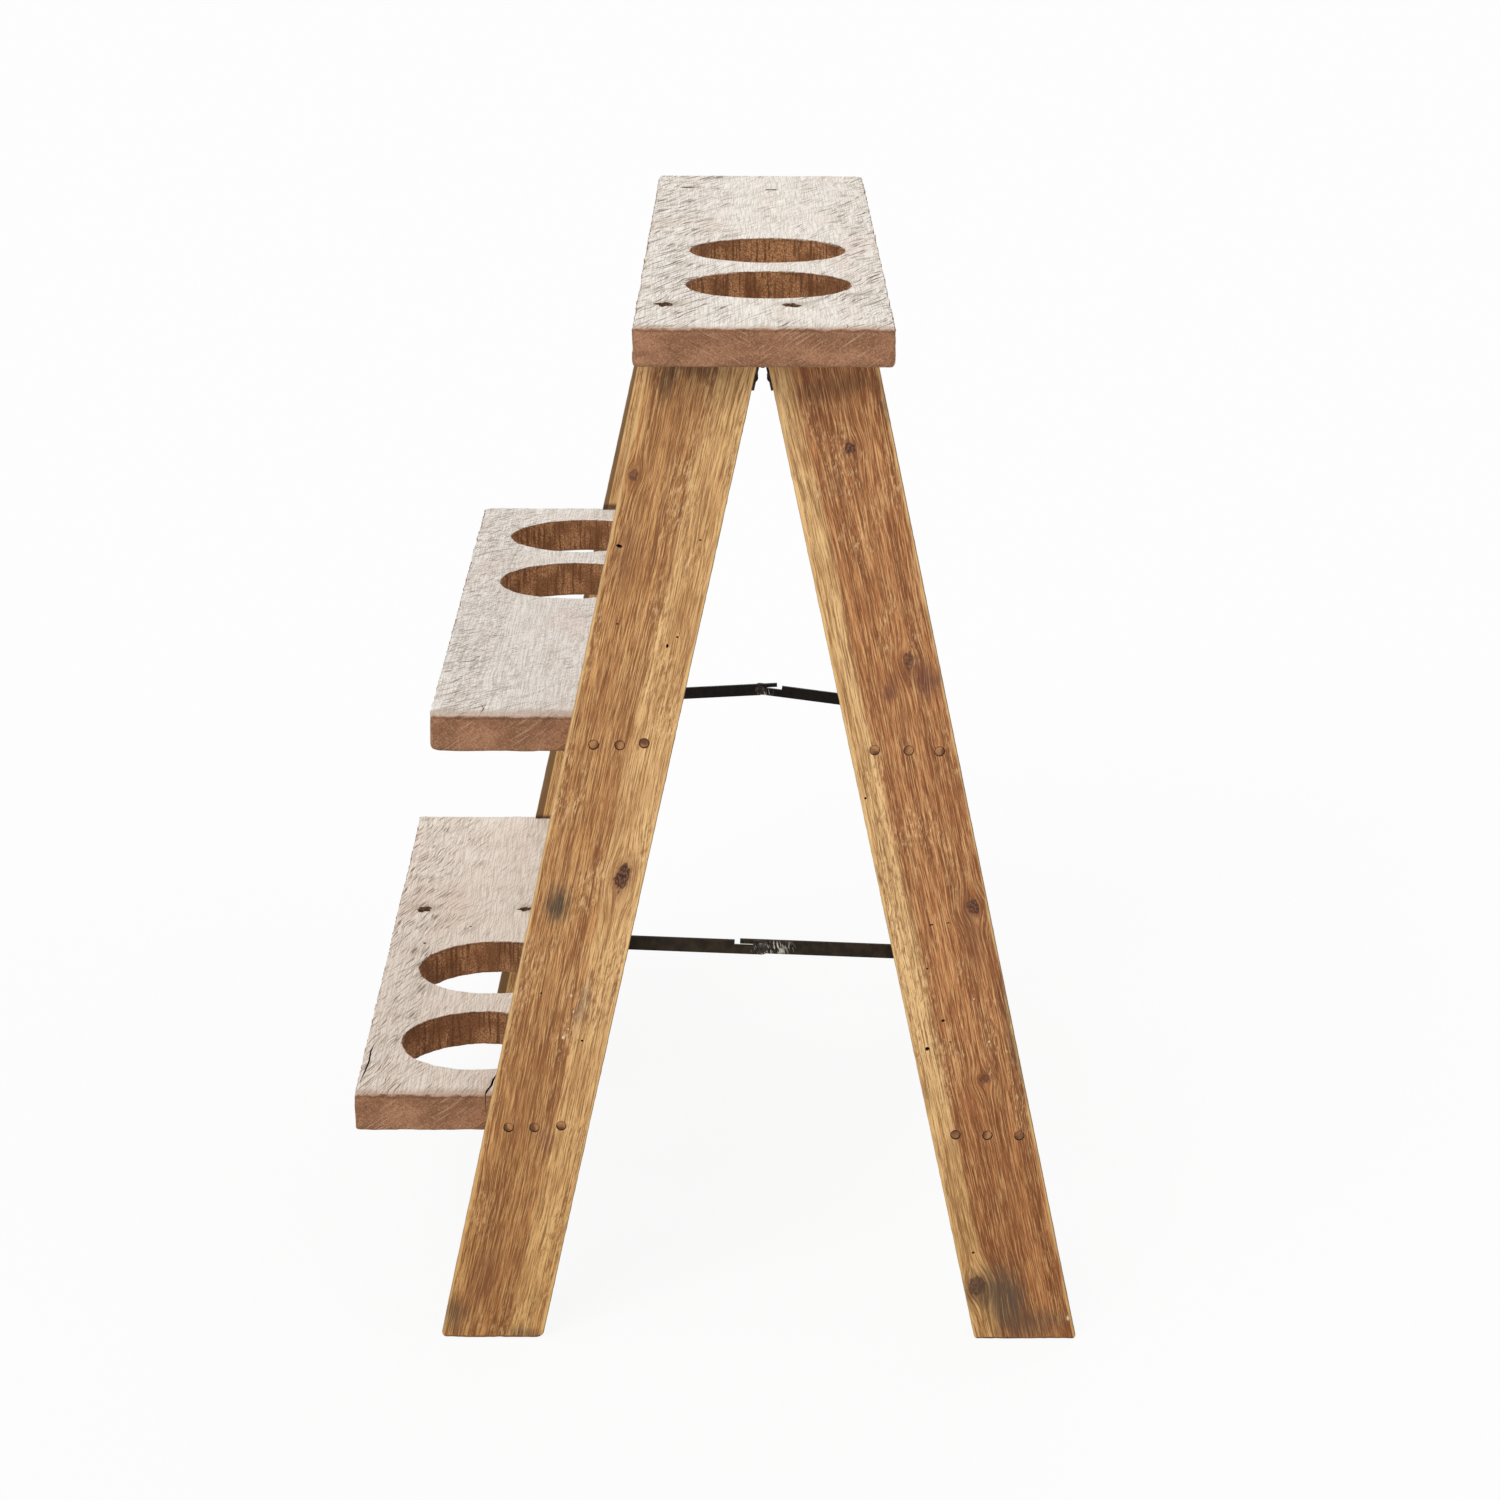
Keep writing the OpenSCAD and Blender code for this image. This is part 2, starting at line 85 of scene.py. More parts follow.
# The wear of the wood. Noises with lumps of three sizes vary the radius of an edge by shares of
# itself, let the edges stray up to EDGE_REACH deep, and leave the faces uneven. END_RIM is the
# width of an end's rim that shows end grain, and HELD_WEAR the share of wear that is left where
# a board sits in another piece.
RAGGED_SIZE, WAVE_SIZE, BOW_SIZE = 5.5, 24, 85
RADIUS_RAGGED, RADIUS_WAVES = 0.35, 0.7
EDGE_RAGGED, EDGE_WAVES = 1.15, 0.55
FACE_WAVES, FACE_BOW = 0.12, 0.5
EDGE_REACH = 7.0
LEAST_RADIUS = 0.15
END_RIM = 2.5
HELD_WEAR = 0.08

# Unless it is given a seed, noise_vector starts from the clock and the wear differs in each run
noise.seed_set(1)

# The air round a step, a rail or a plug in the leg that holds it, and how deep the plugs' holes are
FIT_GAP = 0.3
PLUG_BORE_DEPTH = 7.5

# The camera, fitted to the photo's frame of 1500 x 1500 pixels
CAMERA_PLACE = (31.4, -3404.0, 1502.2)
CAMERA_PITCH = math.radians(17.207)
CAMERA_YAW = math.radians(0.070)
CAMERA_ROLL = math.radians(0.183)
CAMERA_LENS = 83.374
CAMERA_SENSOR = 36
CAMERA_REACH = 200  # metres

# The studio: the strength of the light from all round, the floor's grey and how much of it is
# plain white to the camera, half the floor's side in metres and how far it lies below the feet
WORLD_LIGHT = 0.53
FLOOR_GREY = 0.82
FLOOR_WHITE = 0.90
FLOOR_HALF = 40.0
FLOOR_DROP = 0.0005


# ---- materials ----

def colour(red, green, blue):
    """A display colour of 0 to 255 as the linear colour that a shader takes."""
    return tuple(
        (v / 255 / 12.92 if v / 255 <= 0.04045 else ((v / 255 + 0.055) / 1.055) ** 2.4)
        for v in (red, green, blue)
    ) + (1.0,)


class Paint:
    """One material's node tree. A value is a number, a colour or another node's output."""

    def __init__(self, name):
        self.material = bpy.data.materials.new(name)
        self.material.use_nodes = True
        self.tree = self.material.node_tree
        self.tree.nodes.clear()
        place = self.node("TexCoord").outputs["Object"]
        self.place = self.vector("MULTIPLY", place, (1 / MM, 1 / MM, 1 / MM))

    def node(self, kind):
        """A new node of a kind, such as Math."""
        return self.tree.nodes.new("ShaderNode" + kind)

    def set(self, socket, value):
        """Gives a socket a value, or links another node's output to it."""
        if isinstance(value, bpy.types.NodeSocket):
            self.tree.links.new(value, socket)
        else:
            socket.default_value = value

    def vector(self, operation, a, b=(0, 0, 0)):
        """What an operation makes of two vectors."""
        node = self.node("VectorMath")
        node.operation = operation
        self.set(node.inputs[0], a)
        self.set(node.inputs[1], b)
        return node.outputs["Value" if operation in ("LENGTH", "DOT_PRODUCT") else "Vector"]

    def number(self, operation, a, b=0.0):
        """What an operation makes of two numbers."""
        node = self.node("Math")
        node.operation = operation
        self.set(node.inputs[0], a)
        self.set(node.inputs[1], b)
        return node.outputs[0]

    def plus(self, a, b):
        return self.number("ADD", a, b)

    def minus(self, a, b):
        return self.number("SUBTRACT", a, b)

    def times(self, a, b):
        return self.number("MULTIPLY", a, b)

    def absolute(self, a):
        return self.number("ABSOLUTE", a)

    def part(self, vector, axis):
        """A vector's x, y or z, for an axis of 0, 1 or 2."""
        node = self.node("SeparateXYZ")
        self.set(node.inputs[0], vector)
        return node.outputs[axis]

    def turned(self, vector, degrees, axis=2):
        """The vector turned about an axis, so that a texture's lines run askew."""
        node = self.node("Mapping")
        self.set(node.inputs["Vector"], vector)
        node.inputs["Rotation"].default_value[axis] = math.radians(degrees)
        return node.outputs[0]

    def texture(self, vector, size, detail, roughness=0.5):
        """Noise whose lumps measure size = (x, y, z) millimetres: its value and its colour."""
        node = self.node("TexNoise")
        node.inputs["Scale"].default_value = 1.0
        node.inputs["Detail"].default_value = detail
        node.inputs["Roughness"].default_value = roughness
        scaled = self.vector("MULTIPLY", vector, tuple(1 / s for s in size))
        self.set(node.inputs["Vector"], scaled)
        return node.outputs[0], node.outputs[1]

    def noise(self, vector, size, detail=2.0, roughness=0.5):
        """Noise of 0 to 1."""
        return self.texture(vector, size, detail, roughness)[0]

    def warped(self, vector, size, reach):
        """The vector shifted by a soft noise, up to about reach millimetres."""
        soft = self.texture(vector, size, 1.0)[1]
        centred = self.vector("SUBTRACT", soft, (0.5, 0.5, 0.5))
        shift = self.vector("MULTIPLY", centred, tuple(2 * r for r in reach))
        return self.vector("ADD", vector, shift)

    def band(self, value, low, high, bottom=0.0, top=1.0):
        """A smooth step from bottom to top as the value goes from low to high."""
        node = self.node("MapRange")
        node.interpolation_type = "SMOOTHSTEP"
        for name, number in zip(
            ("Value", "From Min", "From Max", "To Min", "To Max"), (value, low, high, bottom, top)
        ):
            self.set(node.inputs[name], number)
        return node.outputs[0]

    def mix(self, amount, a, b, mode="MIX"):
        """Colour a with an amount of 0 to 1 of colour b laid on it."""
        node = self.node("Mix")
        node.data_type = "RGBA"
        node.blend_type = mode
        self.set(node.inputs[0], amount)
        self.set(node.inputs[6], a)
        self.set(node.inputs[7], b)
        return node.outputs[2]

    def over(self, under, tone, value, low, high, amount=1.0):
        """A tone laid over another colour, by up to amount as the value goes from low to high."""
        return self.mix(self.band(value, low, high, 0.0, amount), under, tone)

    def distance(self, vector, centre, size):
        """Distance from a centre, where 1 is the surface of an ellipsoid of that size."""
        away = self.vector("SUBTRACT", vector, centre)
        scaled = self.vector("MULTIPLY", away, tuple(1 / s for s in size))
        return self.vector("LENGTH", scaled)

    def spot(self, vector, centre, size, softness=0.5):
        """A soft round mark: 1 in its middle and 0 outside."""
        reach = self.distance(vector, centre, size)
        return self.band(reach, 1 + softness, 1 - softness)

    def round_knot(self, vector, centre, size, squeeze=0.85):
        """The vector with its x squeezed near a knot, so that the grain flows round it."""
        reach = self.distance(vector, centre, size)
        near = self.number("EXPONENT", self.times(self.times(reach, reach), -1.0))
        away = self.vector("MULTIPLY", self.vector("SUBTRACT", vector, centre), (-squeeze, 0, 0))
        return self.vector("ADD", vector, self.vector("MULTIPLY", away, near))

    def finish(self, tone, roughness, height, depth, specular=0.2, metallic=0.0):
        """Ends the tree in one shader. The height, of 0 to 1, is depth millimetres of relief."""
        shader = self.node("BsdfPrincipled")
        self.set(shader.inputs["Base Color"], tone)
        self.set(shader.inputs["Roughness"], roughness)
        shader.inputs["Specular IOR Level"].default_value = specular
        shader.inputs["Metallic"].default_value = metallic
        bump = self.node("Bump")
        bump.inputs["Distance"].default_value = depth * MM
        self.set(bump.inputs["Height"], height)
        self.set(shader.inputs["Normal"], bump.outputs[0])
        self.set(self.node("OutputMaterial").inputs["Surface"], shader.outputs[0])
        return self.material


def bleached(p, look):
    """Colour and height of a plank's pale, scratched top face.

    look holds what PLANK_LOOK explains, and the plank's half_width, half_length and holes.
    """
    half = look["half_width"]
    lie = p.turned(p.warped(p.place, (60, 150, 60), (12, 0, 0)), look["turn"])
    curly = p.warped(lie, (14, 44, 14), (4.5, 0, 0))
    scratches = p.noise(curly, (1.3, look["stroke"], 4), detail=2.0, roughness=0.55)
    coarse = p.noise(curly, (2.6, 62, 6), detail=1.0)
    fibres = p.noise(p.warped(p.place, (30, 90, 30), (4, 0, 0)), (1.2, 60, 2), detail=2.0)
    patches = p.noise(p.place, (34, 120, 36), detail=2.0, roughness=0.6)
    away = p.absolute(p.minus(p.part(p.place, 0), look["smooth_at"] * half))
    edgeward = p.band(away, 0.25 * half, 0.95 * half, -0.1, 0.2)
    cover = p.band(p.plus(patches, edgeward), 0.38, 0.62, 0.35, 1.0)
    deep = p.times(p.band(scratches, 0.55, 0.63), cover)
    open_lines = p.times(p.band(coarse, 0.61, 0.67), cover)
    grit = p.noise(p.place, (1.5, 5.5, 2), detail=2.0, roughness=0.6)
    cracks = p.times(open_lines, look["coarseness"])
    value = p.over(colour(216, 206, 195), colour(246, 241, 234), fibres, 0.36, 0.60)
    blush = p.band(p.noise(p.place, (60, 200, 60), detail=1.0), 0.5, 0.7, 0.0, 0.45)
    value = p.mix(blush, value, colour(232, 212, 200))
    value = p.mix(p.times(cover, 0.12), value, colour(206, 194, 182))
    value = p.over(value, colour(160, 140, 122), grit, 0.55, 0.68, look["grit"])
    value = p.over(value, colour(255, 252, 248), grit, 0.45, 0.34, look["grit"])
    value = p.mix(p.times(deep, 0.85), value, colour(130, 108, 90))
    value = p.mix(p.times(cracks, 0.95), value, colour(84, 66, 51))
    # A tan strip, with a ragged edge, along the near end of the top face
    strip_edge = p.times(p.noise(p.place, (12, 30, 8), detail=3.0), 24.0)
    endward = p.minus(strip_edge, p.part(p.place, 1))
    near_end_tan = p.band(endward, look["half_length"] - 10, look["half_length"] + 10, 0.0, 0.6)
    value = p.mix(near_end_tan, value, colour(178, 148, 126))
    for x, y in look["holes"]:
        reach = p.distance(p.warped(p.place, (4, 4, 4), (3, 3, 0)), (x, y, 0), (1, 1, THROUGH))
        rim = p.band(reach, HOLE_RADIUS + 2.5, HOLE_RADIUS - 1.5, 0.0, 0.8)
        ticks = p.band(p.noise(p.place, (3, 6, 5), detail=2.0), 0.46, 0.6)
        value = p.mix(p.times(rim, ticks), value, colour(112, 84, 62))
    for x, y, rx, ry, tone in look["marks"]:
        blot = p.spot(p.warped(p.place, (5, 8, 9), (4, 5, 2)), (x, y, 0), (rx, ry, 14), 0.75)
        value = p.mix(p.times(blot, tone[3]), value, colour(*tone[:3]))
    value = p.mix(1.0, value, colour(*look["tint"]), mode="MULTIPLY")
    height = p.minus(p.times(fibres, 0.3), p.plus(p.times(deep, 0.5), p.times(cracks, 0.8)))
    return value, height


def over_arris(p, brown, pale, reach):
    """The brown of a side with the pale top worn over its upper edge, and a painted shadow line
    along the border of that pale.
    """
    ragged = p.minus(p.noise(p.place, (11, 11, 4), detail=4.0, roughness=0.65), 0.33)
    depth = p.plus(p.part(p.place, 2), p.times(ragged, reach * 6))
    # A painted shadow line where the worn pale meets the brown
    from_line = p.absolute(p.plus(depth, 1.0))
    lined = p.over(brown, colour(84, 56, 40), from_line, 1.7, 0.2, 0.45)
    return p.over(lined, pale, depth, -0.6, 2.4, 0.9)


def top_material(name, look):
    """The bleached top face of a plank."""
    p = Paint(name)
    pale, height = bleached(p, look)
    return p.finish(pale, 0.82, height, 0.6)


def end_material(name, look):
    """Sawn end grain: fine speckle, faint rings and slanted saw scratches."""
    p = Paint(name)
    pale, _ = bleached(p, look)
    speckle = p.noise(p.place, (1.3, 3, 1.2), detail=3.0, roughness=0.65)
    blotches = p.noise(p.place, (40, 60, 18), detail=2.0)
    bent = p.warped(p.place, (60, 60, 30), (0, 0, 3))
    falling = p.noise(p.turned(bent, -29, axis=1), (44, 60, 1.0), detail=1.0)
    rising = p.noise(p.turned(bent, 33, axis=1), (38, 60, 1.0), detail=1.0)
    saw_turns = p.band(p.part(p.place, 0), look["saw_turns_at"], look["saw_turns_at"] + 24)
    saw = p.mix(saw_turns, falling, rising)
    ground = p.over(colour(164, 119, 89), colour(138, 97, 70), blotches, 0.36, 0.64)
    dotted = p.over(ground, colour(98, 64, 42), speckle, 0.5, 0.66, 0.6)
    bright = p.over(dotted, colour(194, 152, 120), speckle, 0.47, 0.34, 0.5)
    here = p.band(p.noise(p.place, (30, 60, 16), detail=1.0), 0.4, 0.6, 0.15, 1.0)
    dark_lines = p.times(p.band(saw, 0.37, 0.30, 0.0, 0.5), here)
    pale_lines = p.times(p.band(saw, 0.62, 0.68, 0.0, 0.6), here)
    scored = p.mix(dark_lines, bright, colour(98, 64, 44))
    sawn = p.mix(pale_lines, scored, colour(204, 168, 138))
    height = p.minus(speckle, dark_lines)
    return p.finish(over_arris(p, sawn, pale, 1.2), 0.8, height, 0.5)


def bore_material(name, look):
    """The wall of a pot hole: dark, with burnt patches and upright tool marks."""
    p = Paint(name)
    pale, _ = bleached(p, look)
    grain = p.noise(p.place, (1.6, 22, 1.6), detail=3.0, roughness=0.6)
    tool = p.noise(p.place, (3.4, 3.4, 60), detail=3.0, roughness=0.6)
    burnt = p.noise(p.place, (24, 24, 30), detail=2.0)
    ground = p.over(colour(182, 133, 92), colour(126, 83, 51), grain, 0.40, 0.60)
    lined = p.over(ground, colour(84, 50, 28), tool, 0.50, 0.62, 0.75)
    dark = p.over(lined, colour(104, 64, 36), burnt, 0.42, 0.62, 0.65)
    height = p.plus(p.times(grain, 0.5), p.times(tool, 0.5))
    return p.finish(over_arris(p, dark, pale, 1.2), 0.75, height, 0.6)


def side_material(name, look):
    """The long edges and the underside of a plank: brown wood with its grain along y."""
    p = Paint(name)
    pale, _ = bleached(p, look)
    lie = p.warped(p.place, (40, 260, 40), (5, 0, 5))
    streaks = p.noise(lie, (4, 120, 4), detail=3.0, roughness=0.6)
    fibres = p.noise(lie, (0.8, 16, 0.8), detail=2.0)
    ground = p.over(colour(170, 128, 96), colour(126, 86, 60), streaks, 0.34, 0.68)
    fine = p.over(ground, colour(96, 62, 42), fibres, 0.5, 0.68, 0.5)
    worn = p.over(fine, colour(196, 160, 130), fibres, 0.42, 0.3, 0.4)
    return p.finish(over_arris(p, worn, pale, 1.8), 0.78, fibres, 0.45)


def pine_grain(p, start, lie, wood, heart):
    """Streaks, lines and fibres, with sapwood beside heartwood.

    wood is (sapwood light, sapwood dark, heartwood light, heartwood dark), and heart is
    (side, x): the heartwood lies where side * x is greater. Gives the colour, the relief,
    the roughness and the fine grain.
    """
    sap_light, sap_dark, heart_light, heart_dark = wood
    streaks = p.noise(lie, (8, 280, 10), detail=3.0, roughness=0.6)
    lines = p.noise(lie, (1.9, 110, 2.6), detail=4.0, roughness=0.65)
    wavy = p.warped(lie, (9, 34, 9), (1.6, 0, 1.2))
    grain = p.noise(wavy, (1.0, 52, 1.5), detail=3.0, roughness=0.65)
    fibres = p.noise(lie, (0.8, 22, 1.1), detail=2.0, roughness=0.65)
    clouds = p.noise(start, (34, 90, 38), detail=3.0, roughness=0.6)
    scales = p.noise(p.turned(start, 7), (2.1, 8, 3), detail=3.0, roughness=0.6)

    side, heart_from = heart
    across = p.times(p.part(lie, 0), side)
    border = p.plus(across, p.times(p.noise(lie, (26, 240, 60), detail=3.0), 22.0))
    inner = p.band(border, heart_from + 8, heart_from + 15)
    light = p.mix(inner, sap_light, heart_light)
    dark = p.mix(inner, sap_dark, heart_dark)
    umber, straw = colour(84, 44, 18), colour(250, 214, 158)
    value = p.over(light, dark, streaks, 0.38, 0.62)
    value = p.over(value, p.mix(0.4, dark, umber), lines, 0.52, 0.60, 0.6)
    value = p.over(value, p.mix(0.4, light, straw), lines, 0.45, 0.36, 0.45)
    value = p.over(value, p.mix(0.6, dark, umber), grain, 0.53, 0.59, 0.85)
    value = p.over(value, p.mix(0.45, light, straw), grain, 0.46, 0.39, 0.7)
    value = p.over(value, p.mix(0.6, dark, umber), fibres, 0.54, 0.61, 0.65)
    value = p.over(value, p.mix(0.5, light, straw), fibres, 0.44, 0.37, 0.5)
    value = p.over(value, heart_dark, clouds, 0.5, 0.72, 0.4)
    rough_patch = p.band(clouds, 0.50, 0.38)
    pale_scales = p.times(p.band(scales, 0.53, 0.64), p.times(rough_patch, 0.4))
    value = p.mix(pale_scales, value, colour(240, 210, 164))
    dark_scales = p.times(p.band(scales, 0.47, 0.36), p.times(rough_patch, 0.6))
    value = p.mix(dark_scales, value, p.mix(0.5, heart_dark, colour(104, 60, 32)))
    relief = p.plus(p.times(lines, -0.5), p.plus(p.times(grain, -0.6), p.times(scales, 0.5)))
    return value, relief, p.band(streaks, 0.3, 0.7, 0.5, 0.66), grain


def worn_and_shaded_arrises(p, start, value):
    """The rubbed pale edges of a leg's face, with a painted shade line along its very rim, stronger
    on the right edge than on the left.
    """
    half = LEG_WIDTH / 2
    x = p.part(p.place, 0)
    ragged = p.plus(p.absolute(x), p.times(p.noise(start, (4, 34, 4), detail=2.0), 6.0))
    value = p.over(value, colour(238, 198, 140), ragged, half - 0.5, half + 2.5, 0.7)
    # Painted shade along both rims, darker on the right edge
    left_rim_shade = p.band(x, 0.8 - half, 0.1 - half, 0.0, 0.3)
    right_rim_shade = p.band(x, half - 1.2, half - 0.2, 0.0, 0.8)
    return p.mix(p.plus(left_rim_shade, right_rim_shade), value, colour(80, 48, 27))


def painted_joint_shadow(p, value, slope, heights):
    """Painted contact shadow on a leg's inner face, along level lines at some heights above the
    floor.
    """
    rake = (slope * math.sin(LEG_RAKE), math.cos(LEG_RAKE), 0)
    level = p.vector("DOT_PRODUCT", p.warped(p.place, (6, 6, 6), (0, 1.2, 0)), rake)
    inside = p.band(p.part(p.place, 2), 4 - LEG_THICK, 1 - LEG_THICK)
    for height in heights:
        from_line = p.absolute(p.minus(level, height))
        # Painted contact shadow where a step's top meets the leg's inner face
        shadow_line = p.times(p.band(from_line, 5.5, 1.0, 0.0, 0.85), inside)
        value = p.mix(shadow_line, value, colour(62, 40, 26))
    return value


def with_knots(p, value, knots):
    """Dark knots with a lumpy core, a darker rim and a brown halo."""
    bent = p.warped(p.place, (6, 9, 20), (3.5, 4.5, 0))
    uneven = p.times(p.noise(p.place, (2.5, 4, 20), detail=3.0), 0.9)
    lumps = p.noise(p.place, (1.8, 3.0, 9), detail=3.0)
    core = p.over(colour(50, 30, 22), colour(122, 80, 56), lumps, 0.42, 0.62)
    for x, y, rx, ry, darkness in knots:
        reach = p.plus(p.distance(bent, (x, y, 0), (rx, ry, THROUGH)), uneven)
        value = p.over(value, colour(120, 70, 42), reach, 3.0, 1.2, 0.6 * darkness)
        value = p.over(value, core, reach, 1.6, 1.2, darkness)
        rim = p.absolute(p.minus(reach, 1.4))
        value = p.over(value, colour(52, 30, 20), rim, 0.2, 0.0, 0.6 * darkness)
    return value


def with_marks(p, value, grain, stains_and_shade, flecks):
    """Dark stains and painted shade that the grain shows through, and small pale flecks."""
    blurred = p.warped(p.place, (7, 12, 9), (5, 9, 3))
    grit = p.band(grain, 0.30, 0.55, 0.45, 1.0)
    for x, y, rx, ry, tone in stains_and_shade:
        blot = p.spot(blurred, (x, y, 0), (rx, ry, 14), 0.7)
        value = p.mix(p.times(p.times(blot, grit), tone[3]), value, colour(*tone[:3]))
    bent = p.warped(p.place, (2, 3, 2), (0.8, 1, 0))
    for x, y, rx, ry in flecks:
        dot = p.spot(bent, (x, y, 0), (rx, ry, 3), 0.35)
        value = p.mix(p.times(dot, 0.75), value, colour(232, 212, 178))
    return value


def leg_material(name, tones, heart, seed, knots=(), stains_and_shade=(), flecks=(), joints=(1, ())):
    """Old pine, oiled. tones and heart are what pine_grain explains, as display colours.

    A knot is (x, y, radius x, radius y, darkness); a stain, some of which are painted shade, is
    (x, y, radius x, radius y, (red, green, blue, amount)); a fleck is (x, y, radius x, radius y).
    joints is (slope of the leg in its own axes, heights of the lines of painted contact shadow).
    """
    p = Paint(name)
    wood = [colour(*tone) for tone in tones]
    own = (0, seed * 3000.0, seed * 70.0)
    start = p.vector("ADD", p.place, own)
    flow = p.place
    for x, y, rx, ry, _ in knots:
        flow = p.round_knot(flow, (x, y, 0), (rx * 2.4, ry * 2.6, THROUGH))
    lie = p.warped(p.vector("ADD", flow, own), (70, 420, 70), (9, 0, 9))
    value, relief, roughness, grain = pine_grain(p, start, lie, wood, heart)
    value = painted_joint_shadow(p, worn_and_shaded_arrises(p, start, value), *joints)
    low_down = p.band(p.part(p.place, 1), 420, 20)
    value = p.mix(low_down, value, colour(236, 230, 216), mode="MULTIPLY")
    value = p.mix(1.0, value, colour(255, 253, 243), mode="MULTIPLY")
    value = with_marks(p, with_knots(p, value, knots), grain, stains_and_shade, flecks)
    return p.finish(value, roughness, relief, 0.7, specular=0.28)


def gouge_material(name):
    """Torn, dirty wood inside the cuts."""
    p = Paint(name)
    lumps = p.noise(p.place, (2, 4, 2), detail=3.0)
    value = p.over(colour(112, 84, 64), colour(58, 40, 28), lumps, 0.35, 0.65)
    return p.finish(value, 0.85, lumps, 0.4, specular=0.15)


def butt_material(name):
    """The sawn ends of legs and rails, dark from the floor's dirt."""
    p = Paint(name)
    speckle = p.noise(p.place, (1.1, 3, 1.1), detail=3.0)
    blots = p.noise(p.place, (14, 30, 9), detail=2.0)
    ground = p.over(colour(150, 106, 68), colour(104, 70, 44), blots, 0.35, 0.65)
    value = p.over(ground, colour(70, 46, 30), speckle, 0.48, 0.68, 0.6)
    return p.finish(value, 0.8, speckle, 0.4)


def plug_material(name):
    """A plug's end grain, darker than the leg."""
    p = Paint(name)
    speckle = p.noise(p.place, (0.8, 0.8, 0.8), detail=3.0)
    blots = p.noise(p.place, (15, 15, 15), detail=1.0)
    ground = p.over(colour(176, 124, 80), colour(104, 66, 44), blots, 0.42, 0.58)
    value = p.over(ground, colour(70, 44, 28), speckle, 0.5, 0.7, 0.6)
    return p.finish(value, 0.62, speckle, 0.25, specular=0.25)


def painted_steel(name, light, dark, pale_patch):
    """Black painted steel, whitish in a streaky patch, which is (centre, size)."""
    p = Paint(name)
    mottle = p.noise(p.place, (9, 9, 9), detail=3.0)
    pits = p.noise(p.place, (0.9, 0.9, 0.9), detail=3.0)
    ground = p.over(colour(*dark), colour(*light), mottle, 0.35, 0.65)
    value = p.over(ground, p.mix(0.25, ground, colour(120, 112, 100)), pits, 0.58, 0.72, 0.4)
    ragged = p.warped(p.place, (4, 4, 4), (3, 3, 3))
    streaky = p.noise(p.turned(p.place, 14, axis=1), (1.1, 4, 7), detail=2.0)
    centre, size = pale_patch
    mark = p.times(p.spot(ragged, centre, size, 0.6), p.band(streaky, 0.5, 0.62))
    value = p.mix(mark, value, colour(196, 190, 178))
    roughness = p.band(mottle, 0.3, 0.7, 0.42, 0.6)
    return p.finish(value, roughness, pits, 0.12, specular=0.15)


def bare_steel(name, light, dark, rust):
    """Old plated steel with spots of rust."""
    p = Paint(name)
    mottle = p.noise(p.place, (4, 4, 4), detail=4.0, roughness=0.65)
    spots = p.noise(p.place, (1.5, 1.5, 1.5), detail=3.0)
    ground = p.over(colour(*light), colour(*dark), mottle, 0.35, 0.65)
    value = p.over(ground, colour(92, 52, 30), spots, 0.56, 0.7, rust)
    roughness = p.band(mottle, 0.3, 0.7, 0.32, 0.55)
    return p.finish(value, roughness, spots, 0.08, specular=0.5, metallic=0.85)


GOUGE = gouge_material("gouge_wood")
BUTT = butt_material("sawn_butt")
PLUG = plug_material("plug_end")


# ---- wooden meshes ----

def graded(start, end):
    """Grid lines from start to end, close together at both ends."""
    length = end - start
    near = [start] + [start + s for s in EDGE_STEPS if s < length / 2]
    far = [end - s for s in reversed(EDGE_STEPS) if s < length / 2] + [end]
    gap = far[0] - near[-1]
    cells = max(1, round(gap / CELL))
    return near + [near[-1] + gap * k / cells for k in range(1, cells)] + far


def evenly(start, end):
    """Grid lines of about one cell from start up to, and without, the end."""
    cells = max(1, round((end - start) / CELL))
    return [start + (end - start) * k / cells for k in range(cells)]


def close_to(start, end):
    """Grid lines that lie close together at the start and end one short of the end."""
    near = [start] + [start + s for s in EDGE_STEPS if s < end - start - 1]
    return near + evenly(near[-1], end)[1:]


def grid_lines(rectangle, holes):
    """Grid lines across and along a board, and the blocks of cells round its two pot holes.

    A block is (first column, first row, cells on a side, centre of the hole).
    """
    x0, x1, y0, y1 = rectangle
    if not holes:
        return graded(x0, x1), graded(y0, y1), []
    half = HOLE_PITCH / 2
    cells = round(HOLE_PITCH / CELL)
    (hole_x, first), (_, second) = sorted(holes, key=lambda hole: hole[1])
    left = close_to(x0, hole_x - half)
    right = [x0 + x1 - x for x in reversed(close_to(x0, x0 + x1 - (hole_x + half)))]
    xs = left + [hole_x - half + HOLE_PITCH * k / cells for k in range(cells + 1)] + right
    near = close_to(y0, first - half)
    far = [y0 + y1 - y for y in reversed(close_to(y0, y0 + y1 - (second + half)))]
    ys = near + [first - half + HOLE_PITCH * k / cells for k in range(2 * cells + 1)] + far
    rows = (len(near), len(near) + cells)
    blocks = [(len(left), row, cells, (hole_x, y)) for row, y in zip(rows, (first, second))]
    return xs, ys, blocks


